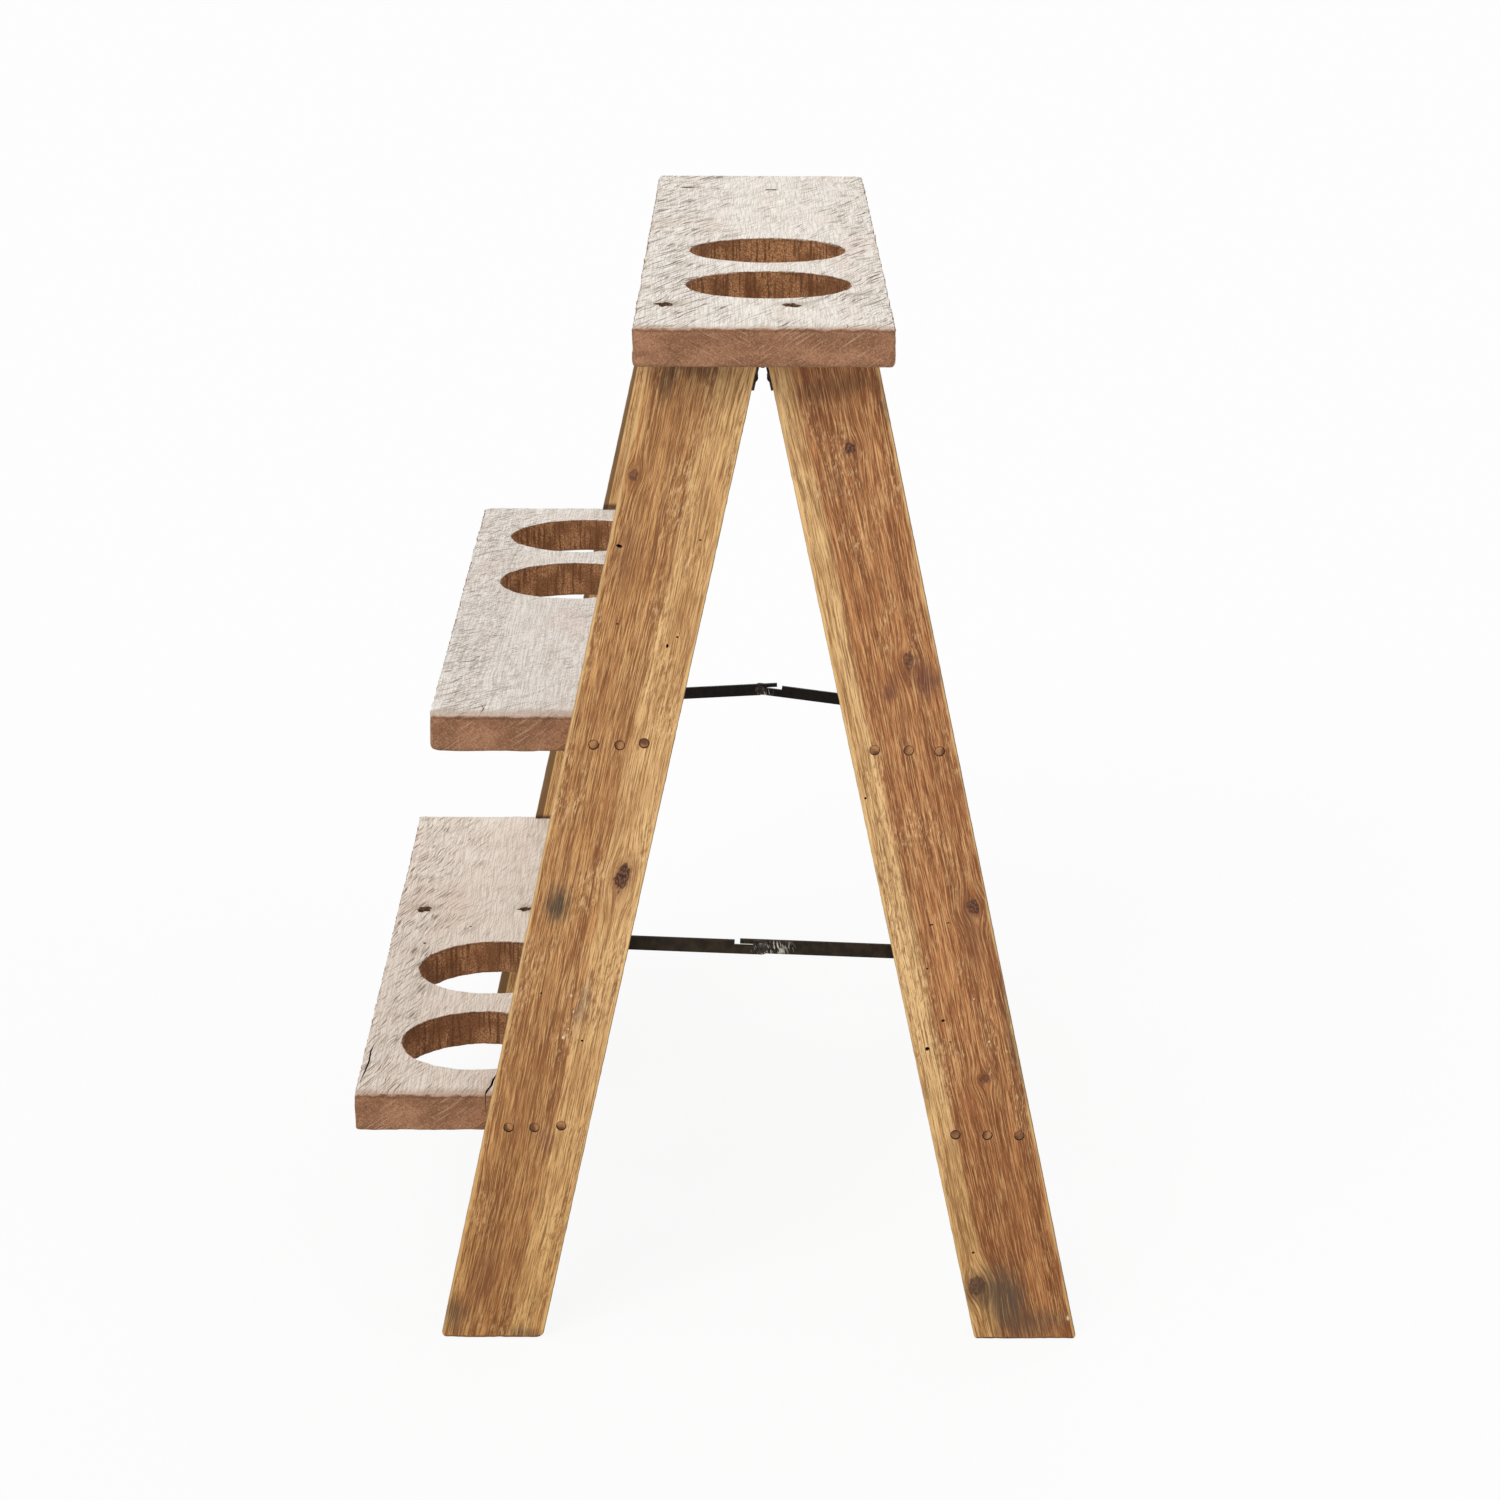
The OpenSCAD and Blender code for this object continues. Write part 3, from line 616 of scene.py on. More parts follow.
class Plan:
    """A slab's outline as a net of quads, with rings round its holes.

    place holds each point, near its distance from the closest edge, and out the direction
    to that edge. loops are the closed edges: the outline first, and then the holes.
    """

    def __init__(self, width, length, holes, corners):
        self.place, self.near, self.out = [], [], []
        self.faces, self.loops = [], []
        rectangle = (-width / 2, width / 2, -length / 2, length / 2)
        xs, ys, blocks = grid_lines(rectangle, holes)
        index = {}
        for j, y in enumerate(ys):
            for i, x in enumerate(xs):
                if not any(bi < i < bi + n and bj < j < bj + n for bi, bj, n, _ in blocks):
                    index[i, j] = self.add_corner_point(x, y, rectangle, corners)
        for j in range(len(ys) - 1):
            for i in range(len(xs) - 1):
                if not any(bi <= i < bi + n and bj <= j < bj + n for bi, bj, n, _ in blocks):
                    corner_keys = ((i, j), (i + 1, j), (i + 1, j + 1), (i, j + 1))
                    self.faces.append(tuple(index[key] for key in corner_keys))
        self.outline_faces = len(self.faces)
        self.loops.append(self.round_trip(index, 0, 0, len(xs) - 1, len(ys) - 1))
        for bi, bj, n, centre in blocks:
            self.add_hole(self.round_trip(index, bi, bj, bi + n, bj + n), centre)

    def on_end(self, number):
        """Whether a face lies on the rim of an end, where the end's wood shows through."""
        return number < self.outline_faces and all(
            self.near[k] < END_RIM and abs(self.out[k][1]) > abs(self.out[k][0])
            for k in self.faces[number]
        )

    @staticmethod
    def round_trip(index, i0, j0, i1, j1):
        """The points round a rectangle of the grid, anticlockwise."""
        trip = [(i, j0) for i in range(i0, i1)] + [(i1, j) for j in range(j0, j1)]
        trip += [(i, j1) for i in range(i1, i0, -1)] + [(i0, j) for j in range(j1, j0, -1)]
        return [index[key] for key in trip]

    def add(self, x, y, near, out):
        """Adds a point and gives its number."""
        self.place.append((x, y))
        self.near.append(near)
        self.out.append(out)
        return len(self.place) - 1

    def add_corner_point(self, x, y, rectangle, corners):
        """Adds a grid point, drawn in where the outline's corner is round."""
        x0, x1, y0, y1 = rectangle
        side_x, side_y = (-1 if x - x0 < x1 - x else 1), (-1 if y - y0 < y1 - y else 1)
        ax, ay = min(x - x0, x1 - x), min(y - y0, y1 - y)
        radius = corners[side_y > 0][side_x > 0]
        if ax < radius and ay < radius:
            u, v = radius - ax, radius - ay
            reach, size = max(u, v), math.hypot(u, v)
            x = (x0 if side_x < 0 else x1) - side_x * (radius - u * reach / size)
            y = (y0 if side_y < 0 else y1) - side_y * (radius - v * reach / size)
            return self.add(x, y, radius - reach, (side_x * u / size, side_y * v / size))
        if ax < ay:
            return self.add(x, y, ax, (side_x, 0))
        return self.add(x, y, ay, (0, side_y))

    def add_hole(self, border, centre):
        """Rings of quads from the hole's rim out to the border of its block."""
        cx, cy = centre
        outer = []
        for point in border:
            x, y = self.place[point]
            size = math.hypot(x - cx, y - cy)
            outer.append(((x - cx) / size, (y - cy) / size, size))
        start = HOLE_RADIUS + EDGE_STEPS[-1]
        steps = [(step, 0.0) for step in (0.0,) + EDGE_STEPS]
        steps += [(EDGE_STEPS[-1], fraction) for fraction in RING_FRACTIONS]
        rings = []
        for step, fraction in steps:
            ring = []
            for ux, uy, size in outer:
                near = step + (size - start) * fraction
                reach = HOLE_RADIUS + near
                ring.append(self.add(cx + ux * reach, cy + uy * reach, near, (-ux, -uy)))
            rings.append(ring)
        rings.append(border)
        count = len(border)
        for inner, outside in zip(rings, rings[1:]):
            for k in range(count):
                n = (k + 1) % count
                self.faces.append((inner[k], outside[k], outside[n], inner[n]))
        self.loops.append(rings[0][::-1])


def inner_depths(thick):
    """Depths between the top and bottom faces, close together at both."""
    near = [s for s in EDGE_STEPS if s < thick / 2 - 1]
    gap = thick - 2 * near[-1]
    cells = max(1, round(gap / EDGE_CELL))
    middle = [near[-1] + gap * k / cells for k in range(1, cells)]
    return near + middle + [thick - s for s in reversed(near)]


def soft_noise(points, size, seed):
    """Smooth noise of about -1 to 1 in three directions, for many points."""
    shift = Vector((seed * 13.7, seed * -7.1, seed * 3.3))
    return np.array([tuple(noise.noise_vector(Vector(p) / size + shift)) for p in points])


def unworn(plan, thick):
    """A board before it wears: points, how near and which way the closest edge lies for each,
    faces, and each face's region."""
    count = len(plan.place)
    place = [(x, y, z) for z in (0.0, -thick) for x, y in plan.place]
    near, out = plan.near * 2, plan.out * 2
    faces = plan.faces + [tuple(count + k for k in reversed(face)) for face in plan.faces]
    region = [END if plan.on_end(number) else TOP for number in range(len(plan.faces))]
    region += [BOTTOM] * len(plan.faces)
    for number, loop in enumerate(plan.loops):
        size = len(loop)
        levels = [loop]
        for depth in inner_depths(thick):
            levels.append(list(range(len(place), len(place) + size)))
            place += [(*plan.place[k], -depth) for k in loop]
            near += [0.0] * size
            out += [plan.out[k] for k in loop]
        levels.append([count + k for k in loop])
        for upper, lower in zip(levels, levels[1:]):
            for k in range(size):
                n = (k + 1) % size
                faces.append((lower[k], lower[n], upper[n], upper[k]))
                out_x, out_y = plan.out[loop[k]]
                region.append(BORE if number else END if abs(out_y) > abs(out_x) else SIDE)
    return np.array(place), np.array(near), np.array(out, float), faces, region


def slab(width, length, thick, wear, seed, holes=(), corners=((3, 3), (3, 3)), taper=0.0,
         shear=0.0, held=(math.inf, math.inf), ragged_edges=1.0):
    """Points, faces and each face's region of a worn board.

    wear is the radius of the edges at (top, bottom), and corners holds the radii of the
    outline's corners. taper widens the board towards -x at its far end, and shear slants its
    ends. held is (x, y): where x and |y| are greater, the board sits in another piece.
    ragged_edges is how far the edges stray, where 1 is about a millimetre.
    """
    place, near, out, faces, region = unworn(Plan(width, length, holes, corners), thick)
    waves = soft_noise(place, WAVE_SIZE, seed)
    ragged = soft_noise(place, RAGGED_SIZE, seed + 1)
    upper = place[:, 2] > -thick / 2
    height = np.where(upper, -place[:, 2], thick + place[:, 2])
    inside = (place[:, 0] > held[0]) & (np.abs(place[:, 1]) > held[1])
    fit = np.where(inside, HELD_WEAR, 1.0)
    radius = np.where(upper, wear[0], wear[1])
    radius = radius * (1 + RADIUS_WAVES * waves[:, 0] + RADIUS_RAGGED * ragged[:, 0])
    radius = np.clip(radius * fit, LEAST_RADIUS, EDGE_STEPS[-1])

    u, v = radius - near, radius - height
    size = np.hypot(u, v)
    rounded = (u > 0) & (v > 0) & (size > radius)
    pull = np.where(rounded, 1 - radius / np.maximum(size, 1e-6), 0.0)
    place[:, :2] -= out * (u * pull)[:, None]
    place[:, 2] += np.where(upper, -v * pull, v * pull)

    stray = np.exp(-near / EDGE_REACH) * fit * ragged_edges
    stray = stray * (EDGE_RAGGED * ragged[:, 1] + EDGE_WAVES * waves[:, 1])
    place[:, :2] -= out * stray[:, None]
    bow = soft_noise(place, BOW_SIZE, seed + 2)
    place[:, 2] += fit * (FACE_BOW * bow[:, 2] + FACE_WAVES * waves[:, 2])

    along = (place[:, 1] + length / 2) / length
    place[:, 0] -= taper * along * np.clip(-place[:, 0] / (width / 2), 0, 1) ** 3
    place[:, 1] += shear * place[:, 0]
    return place, faces, region


def mesh_object(name, place, faces, region, materials, matrix=Matrix()):
    """A mesh object in metres, with one material per region, placed in the stand."""
    mesh = bpy.data.meshes.new(name)
    mesh.from_pydata([tuple(p) for p in place * MM], [], faces)
    slots = list(dict.fromkeys(materials))
    for material in slots:
        mesh.materials.append(material)
    mesh.polygons.foreach_set("material_index", [slots.index(materials[r]) for r in region])
    mesh.polygons.foreach_set("use_smooth", [True] * len(faces))
    piece = bpy.data.objects.new(name, mesh)
    bpy.context.scene.collection.objects.link(piece)
    piece.matrix_world = matrix
    return piece


def prism(points, top, bottom, shrink=1.0):
    """Points and faces of a prism over an outline, for a cut. Its bottom may be smaller."""
    count = len(points)
    cx = sum(x for x, _ in points) / count
    cy = sum(y for _, y in points) / count
    place = [(x, y, top) for x, y in points]
    place += [(cx + (x - cx) * shrink, cy + (y - cy) * shrink, bottom) for x, y in points]
    faces = [tuple(range(count)), tuple(range(2 * count - 1, count - 1, -1))]
    faces += [(k, k + count, (k + 1) % count + count, (k + 1) % count) for k in range(count)]
    return place, faces


def ellipse(x, y, rx, ry, count, seed=0, rough=0.0):
    """A round or ragged outline about a point."""
    outline = []
    for k in range(count):
        angle = 2 * math.pi * k / count
        c, s = math.cos(angle), math.sin(angle)
        wobble = 1 + rough * noise.noise(Vector((2 * c, 2 * s, seed * 9.7)))
        outline.append((x + rx * wobble * c, y + ry * wobble * s))
    return outline


def carve(piece, passes, material):
    """Cuts prisms out of a piece. The cuts of one pass, each (outline, top, bottom, shrink),
    lie apart from each other."""
    piece.data.materials.append(material)
    cutters = []
    for cuts in passes:
        place, faces = [], []
        for outline, top, bottom, shrink in cuts:
            points, sides = prism(outline, top, bottom, shrink)
            faces += [tuple(len(place) + k for k in side) for side in sides]
            place += points
        cutter = mesh_object("cutter", np.array(place, float), faces, [0] * len(faces),
                             [material], piece.matrix_world)
        modifier = piece.modifiers.new("cut", "BOOLEAN")
        modifier.operation = "DIFFERENCE"
        modifier.solver = "MANIFOLD"
        modifier.object = cutter
        cutters.append(cutter)
    apply_modifiers(piece)
    for cutter in cutters:
        bpy.data.objects.remove(cutter)


def apply_modifiers(piece):
    """Makes the modifiers' result the piece's own mesh."""
    bpy.context.view_layer.update()
    shown = piece.evaluated_get(bpy.context.evaluated_depsgraph_get())
    mesh = bpy.data.meshes.new_from_object(shown)
    piece.modifiers.clear()
    piece.data = mesh
    mesh.set_sharp_from_angle(angle=SHARP_ANGLE)


def axes(origin, x_axis, y_axis, z_axis):
    """The place of a piece's own axes in the stand, from millimetres."""
    columns = Matrix((x_axis, y_axis, z_axis)).transposed().to_4x4()
    columns.translation = Vector(origin) * MM
    return columns


# ---- planks ----

def board_materials(name, look):
    """A plank's materials, in the order of the regions."""
    return [
        top_material(name + "_top", look),
        side_material(name + "_underside", look),
        end_material(name + "_end", look),
        side_material(name + "_side", look),
        bore_material(name + "_bore", look),
    ]


# How a plank looks where nothing else is said: the tint of its bleached face, soft stains
# (x, y, radius x, radius y, (red, green, blue, amount)) on it, how open its cracks are, the slant
# and length of its scratches, how gritty it is, where across its width it is smoothest, as a
# share of half of it, and the x from which the saw marks of its ends slant upwards.
PLANK_LOOK = {
    "tint": (254, 253, 251),
    "marks": (),
    "coarseness": 0.3,
    "turn": 17,
    "stroke": 34,
    "grit": 0.25,
    "smooth_at": -0.05,
    "saw_turns_at": -500,
}


def plank(name, node, body, width, holes, corners, seed, wear, nails=(), cracks=(),
          worm_holes=(), taper=0.0, held=(math.inf, math.inf), tilt=0.0, **look):
    """A worn plank that stands for a CAD board. slab and PLANK_LOOK explain what isn't said here.

    holes are the middles of its pot holes. nails, cracks and worm_holes hold what nail_mark,
    crack and worm_hole take. tilt is how much higher than in the CAD its right end lies, and
    how much lower its left end.
    """
    low, high = (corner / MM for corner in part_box(node))
    length = high.y - low.y
    place, faces, region = slab(
        width, length, high.z - low.z, wear, seed, holes, corners, taper, held=held
    )
    place[:, 2] -= tilt * place[:, 1] / high.y
    matrix = axes((high.x - width / 2, 0, high.z), (1, 0, 0), (0, 1, 0), (0, 0, 1))
    size = {"half_width": width / 2, "half_length": length / 2, "holes": holes}
    materials = board_materials(name, {**PLANK_LOOK, **size, **look})
    piece = mesh_object(name, place, faces, region, materials, matrix)
    carve(piece, plank_cuts(nails, cracks, worm_holes), GOUGE)
    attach(piece, body)
    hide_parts(node)


def nail_mark(x, y, turn, seed, length):
    """An old nail's bruise in a plank: a ragged shallow gouge, and a deeper hole in it."""
    c, s = math.cos(math.radians(turn)), math.sin(math.radians(turn))
    gouge = [
        (x + c * px - s * py, y + s * px + c * py)
        for px, py in ellipse(0, 0, 10, length, 18, seed, 0.7)
    ]
    hole = ellipse(x - 2 * c, y - 2 * s, 3.6, length * 0.5, 12, seed + 1, 0.3)
    return (gouge, 3.0, -3.5, 0.4), (hole, 2.5, -10.0, 0.6)


def crack(points, width, depth):
    """A crack that runs in from an edge along a line, pointed at both ends."""
    left, right = [], []
    for (x0, y0), (x, y), (x1, y1) in zip(points, points[1:], points[2:]):
        length = math.hypot(x1 - x0, y1 - y0)
        nx, ny = (y0 - y1) / length, (x1 - x0) / length
        left.append((x + nx * width / 2, y + ny * width / 2))
        right.append((x - nx * width / 2, y - ny * width / 2))
    return [points[0]] + right + [points[-1]] + left[::-1], 3.0, -depth, 0.75


def worm_hole(x, y, rx, ry):
    """A small ragged hole."""
    return ellipse(x, y, rx, ry, 12, x, 0.3), 2.0, -9.0, 0.55


def plank_cuts(nails, cracks, worm_holes):
    """A plank's cuts in two passes, as nail holes lie in the gouges of the first."""
    marks = [nail_mark(*nail) for nail in nails]
    first = [gouge for gouge, _ in marks] + [crack(*line) for line in cracks]
    first += [worm_hole(*hole) for hole in worm_holes]
    return [cuts for cuts in (first, [hole for _, hole in marks]) if cuts]


# Stains round the nail marks
RUST = (150, 132, 104, 0.5)
NAIL_STAINS_TOP = ((-84, -352, 16, 14, RUST), (28, -352, 15, 13, RUST), (86, -302, 14, 8, RUST),
                   (-76, 380, 10, 9, RUST))
NAIL_STAINS_LOWER = ((-85, 100, 13, 12, RUST), (23, 102, 13, 12, RUST))

# Where the steps sit in the front legs' housings
STEP_HELD = (32, LEG_INNER_Y - 4)

plank("top_plank", "top_board", "front_frame", width=225, holes=((5, -245.5), (5, -46.5)),
      corners=((4, 5), (5, 13)), seed=3, wear=(3.3, 3.8),
      nails=((-88, -356, 4, 1, 14), (24, -357, -3, 2, 13), (-80, 378, 6, 3, 6), (12, 362, 2, 4, 6)),
      cracks=(([(70, -474), (72, -460), (70, -446)], 1.0, 6),),
      marks=NAIL_STAINS_TOP, coarseness=0.8, turn=23, smooth_at=0.13, saw_turns_at=-20)
plank("middle_plank", "middle_step", "front_frame", width=215, holes=((0, 81.5), (0, 280.5)),
      corners=((8, 1), (7, 1)), seed=11, wear=(3.0, 4.2), taper=10, held=STEP_HELD,
      tilt=MIDDLE_TILT,
      cracks=(([(-62, -414), (-60, -396), (-63, -380)], 1.1, 7),
              ([(-80, -145), (-69, -142), (-58, -138)], 2.0, 4),
              ([(-98, -238), (-87, -235), (-75, -230)], 2.0, 4)),
      tint=(255, 255, 255), turn=40, stroke=15, grit=0.45)
plank("lower_plank", "lower_step", "front_frame", width=215, holes=((0, -274.5), (0, -75.5)),
      corners=((3, 1), (5, 1)), seed=23, wear=(2.4, 3.0), taper=13, held=STEP_HELD,
      nails=((-88, 96, 3, 7, 11), (20, 98, -4, 8, 10)),
      cracks=(([(22, -358), (19.5, -374), (18.5, -390), (15, -403), (14, -418)], 2.2, 30),
              ([(-101, -283), (-103, -305), (-102, -330), (-103.5, -360), (-106, -388)], 1.6, 9)),
      worm_holes=((-78, -8, 1.6, 2.6), (-34, 42, 1.3, 2.0)),
      tint=(255, 249, 243), marks=NAIL_STAINS_LOWER)


# ---- legs and rails ----

# The colours of the legs' wood, then their knots, stains (some of them painted shade), worm holes
# and flecks, in the legs' own (x, y). pine_grain and leg_material explain the numbers.
FRONT_TONES = ((228, 184, 130), (194, 145, 95), (194, 140, 88), (152, 100, 60))
BACK_TONES = ((232, 190, 138), (190, 144, 94), (186, 124, 77), (144, 88, 51))

FRONT_RIGHT_KNOTS = ((-38.5, 844, 4, 5, 0.6), (27.6, 477, 6.0, 12.5, 1.0))
BACK_RIGHT_KNOTS = (
    (9, 874.6, 4, 5.5, 0.9),
    (33.4, 436, 5.5, 6.5, 0.9),
    (11.4, 267.7, 4.2, 4.2, 0.6),
    (-34.5, 63, 7.5, 9, 0.8),
    (21.4, 676, 4.6, 7.0, 0.75),
)
FRONT_LEFT_KNOTS = ((14, 640, 5, 7, 0.9), (-25, 330, 4, 6, 0.7))
BACK_LEFT_KNOTS = ((-12, 760, 5, 7, 0.9), (22, 512, 4, 5, 0.7), (-20, 150, 5, 6, 0.8))

# The tone of painted shade: under the top board at the top of the front right leg, and along the
# right edge of the back right leg
PAINTED_SHADE = (74, 50, 34, 0.6)
UMBER = (112, 66, 40, 0.55)
DIRT = (82, 64, 50, 0.6)
FRONT_RIGHT_STAINS_AND_SHADE = (
    # Painted shadow under the top board
    (-4, 948, 26, 8, PAINTED_SHADE),
    (-26, 936, 6, 20, PAINTED_SHADE),
    (-24, 439, 10, 17, (76, 62, 48, 1.0)),
    (11, 211, 7, 12, (110, 70, 52, 0.5)),
    (-40, 16, 12, 16, DIRT),
    (-20, 60, 9, 30, UMBER),
    (34, 8, 20, 8, DIRT),
    (17, 345, 5, 26, (120, 104, 90, 0.45)),
    (-30, 770, 10, 28, UMBER),
)
BACK_RIGHT_STAINS_AND_SHADE = (
    (-13, 846, 7, 11, UMBER),
    (-14, 912, 4, 6, UMBER),
    (34, 655, 9, 14, (92, 52, 46, 0.75)),
    (14, 662, 14, 8, UMBER),
    (-2, 650, 6, 8, (104, 60, 46, 0.75)),
    # Painted shadow under the top board
    (8, 930, 34, 9, (88, 54, 34, 0.5)),
    # Painted shade along the leg's right edge
    (45, 902, 3, 14, PAINTED_SHADE),
    (28, 412, 7, 30, (104, 62, 40, 0.6)),
    (-9, 246, 6, 8, (150, 84, 52, 0.6)),
    (-10, 44, 17, 30, (84, 68, 52, 0.9)),
    (-32, 60, 15, 18, (70, 54, 40, 0.6)),
    (12, 14, 26, 12, DIRT),
    # Painted shade along the leg's right edge
    (44, 300, 3, 60, PAINTED_SHADE),
)
FRONT_RIGHT_HOLES = (
    (-24.8, 709, 1.0, 1.0), (29.6, 708.5, 1.1, 1.1), (22.6, 698.6, 1.3, 2.0),
    (31.1, 799.3, 1.0, 0.9), (-37.4, 778.8, 3.2, 1.8), (-22.3, 351.5, 1.1, 1.1),
    (23.5, 313.6, 1.2, 1.2),
)
BACK_RIGHT_HOLES = (
    (-42.1, 558, 1.2, 1.2), (-7.3, 427, 2.2, 0.8), (8.2, 425.7, 1.4, 0.7),
    (-19, 385.8, 1.1, 1.1), (-14.5, 333, 1.8, 1.4), (-34.1, 308.7, 2.4, 1.9),
    (-12.1, 311, 1.2, 0.8), (-31.4, 98, 1.6, 1.1),
)
FRONT_LEFT_HOLES = ((20, 500, 1.2, 1.2), (-12, 720, 1, 1))
BACK_LEFT_HOLES = ((-20, 420, 1.3, 1.3), (15, 610, 1, 1.4))
FRONT_RIGHT_FLECKS = (
    (5, 355, 0.9, 1.8), (10, 340, 0.7, 1.4), (6, 313, 1.4, 1.7), (9, 322, 0.8, 0.9),
)
BACK_RIGHT_FLECKS = ((23, 304, 1.1, 0.9), (17, 348, 0.8, 0.8), (43, 13, 1.1, 2.4))
LEFT_STAINS = ((0, 16, 30, 16, DIRT),)

# The wear of legs and rails, as slab explains it
LEG_WEAR = (1.7, 1.7)
LEG_RAGGED = 0.3
RAIL_WEAR = (1.6, 1.6)

# In what follows lean is 1 for the front legs and -1 for the back legs, and side is -1 for the
# right leg and 1 for the left leg. These are the boards whose ends a leg holds, by its lean.
HELD_BOARDS = {1: ("middle_step", "lower_step"), -1: ("upper_back_rail", "lower_back_rail")}

# The plugs of a leg, by its lean: the heights of its rows, how far its plugs lie from the leg's
# middle, and how far each plug is off its row, as a drill by hand leaves it
PLUG_ROWS = {
    1: ((585, 217), (-24, 0, 24),
        ((0.5, 1.5), (0, 1), (-2.5, 2.5), (-2.5, -2.5), (-2.5, -2.5), (-2, -0.5))),
    -1: ((584, 211), (-23, 6, 35),
         ((-2.5, -1.5), (-1, -2), (-2.5, -2.5), (-2.5, -1.5), (-2, -2), (-1.5, -2.5))),
}

# A plug's section as (radius, height), from the edge of its flat top down, and its points around
PLUG_SECTION = ((2.2, 0.2), (3.6, 0.05), (4.2, -0.25), (4.45, -0.8), (4.45, -6.5))
PLUG_POINTS = 24


def leg_axes(lean, side):
    """A leg's x, y and z axis in the stand, and the x of its foot's middle."""
    along = Vector((lean * math.sin(LEG_RAKE), 0, math.cos(LEG_RAKE)))
    outward = Vector((0, side, 0))
    node = "front_leg_right" if lean > 0 else "back_leg_right"
    low, high = (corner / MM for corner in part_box(node))
    half_run = LEG_WIDTH / math.cos(LEG_RAKE) / 2
    foot_x = low.x + half_run if lean > 0 else high.x - half_run
    return along.cross(outward), along, outward, foot_x


def leg_local(lean, side, x, z):
    """A point (x, z) of the stand in a leg's own (x, y)."""
    across, along, _, foot_x = leg_axes(lean, side)
    away = Vector((x - foot_x, 0, z))
    return away.dot(across), away.dot(along)


def leg_plugs(lean, side):
    """The places of a leg's plugs."""
    heights, offsets, nudges = PLUG_ROWS[lean]
    foot_x = leg_axes(lean, side)[3]
    rows = []
    for height in heights:
        middle = foot_x + lean * height * math.tan(LEG_RAKE)
        rows += [leg_local(lean, side, middle + offset, height) for offset in offsets]
    return [(x - side * nx, y + ny) for (x, y), (nx, ny) in zip(rows, nudges)]


def housing(lean, side, node):
    """A cut in a leg's inner face that takes the end of a step or rail."""
    low, high = (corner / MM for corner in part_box(node))
    lift = -side * MIDDLE_TILT * LEG_INNER_Y / high.y if node == "middle_step" else 0.0
    left, right = low.x - FIT_GAP, high.x + FIT_GAP
    bottom, top = low.z - FIT_GAP + lift, high.z + FIT_GAP + lift
    corners = ((left, bottom), (right, bottom), (right, top), (left, top))
    outline = [leg_local(lean, side, x, z) for x, z in corners]
    if lean * side < 0:
        outline.reverse()
    return outline, HOUSING_DEPTH - LEG_THICK, -LEG_THICK - 3.0, 1.0


def leg(name, node, body, lean, side, material, holes, seed, corners,
        outer_edge=(0.0, 0.0)):
    """A leg that stands for a CAD leg, with worm holes at some places of its outer face.

    outer_edge is how far its edge away from the hinge stands out at the foot and at the top.
    """
    across, along, outward, foot_x = leg_axes(lean, side)
    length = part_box(node)[1].z / MM / math.cos(LEG_RAKE)
    place, faces, region = slab(
        LEG_WIDTH, length, LEG_THICK, LEG_WEAR, seed, corners=corners,
        shear=-across.z / along.z, ragged_edges=LEG_RAGGED
    )
    place[:, 1] += length / 2
    outer = side * lean
    foot_gain, top_gain = outer_edge
    gain = foot_gain + (top_gain - foot_gain) * np.clip(place[:, 1] / length, 0, 1)
    place[:, 0] += outer * gain * np.clip(outer * place[:, 0] / (LEG_WIDTH / 2), 0, 1) ** 3
    under_floor = np.minimum(place[:, 0] * across.z + place[:, 1] * along.z, 0)
    place[:, 1] -= under_floor / along.z
    matrix = axes((foot_x, side * LEG_OUTER_Y, 0), across, along, outward)
    piece = mesh_object(name, place, faces, region, [material, material, BUTT, material], matrix)
    bore = PLUG_RADIUS + FIT_GAP
    cuts = [worm_hole(*hole) for hole in holes]
    cuts += [(ellipse(x, y, bore, bore, 28), 2.0, -PLUG_BORE_DEPTH, 1.0)
             for x, y in leg_plugs(lean, side)]
    cuts += [housing(lean, side, board) for board in HELD_BOARDS[lean]]
    carve(piece, [cuts], GOUGE)
    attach(piece, body)
    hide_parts(node)


def rail(name, node, seed, grain_seed):
    """A back rail that stands for the CAD one."""
    low, high = (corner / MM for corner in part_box(node))
    place, faces, region = slab(
        high.x - low.x, high.y - low.y, high.z - low.z, RAIL_WEAR, seed,
        held=(-math.inf, LEG_INNER_Y - 3)
    )
    matrix = axes(((low.x + high.x) / 2, 0, high.z), (1, 0, 0), (0, 1, 0), (0, 0, 1))
    wood = leg_material(name + "_pine", BACK_TONES, (1, 10), grain_seed, ((12, 90, 4, 6, 0.8),))
    piece = mesh_object(name, place, faces, region, [wood, wood, BUTT, wood], matrix)
    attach(piece, "back_frame")
    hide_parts(node)


def plug(place, faces, middle, across, along, outward, sink, tilt):
    """Adds a plug to a mesh: a low dome, sunk a little and not quite level."""
    start = len(place)
    for radius, lift in PLUG_SECTION:
        for k in range(PLUG_POINTS):
            angle = 2 * math.pi * k / PLUG_POINTS
            x, y = radius * math.cos(angle), radius * math.sin(angle)
            height = lift - sink + (tilt * x if lift > -1 else 0)
            place.append(middle + across * x + along * y + outward * height)
    faces.append(tuple(range(start, start + PLUG_POINTS)))
    for ring in range(start, len(place) - PLUG_POINTS, PLUG_POINTS):
        for k in range(PLUG_POINTS):
            a, b = ring + k, ring + (k + 1) % PLUG_POINTS
            faces.append((a, a + PLUG_POINTS, b + PLUG_POINTS, b))
    faces.append(tuple(reversed(range(len(place) - PLUG_POINTS, len(place)))))


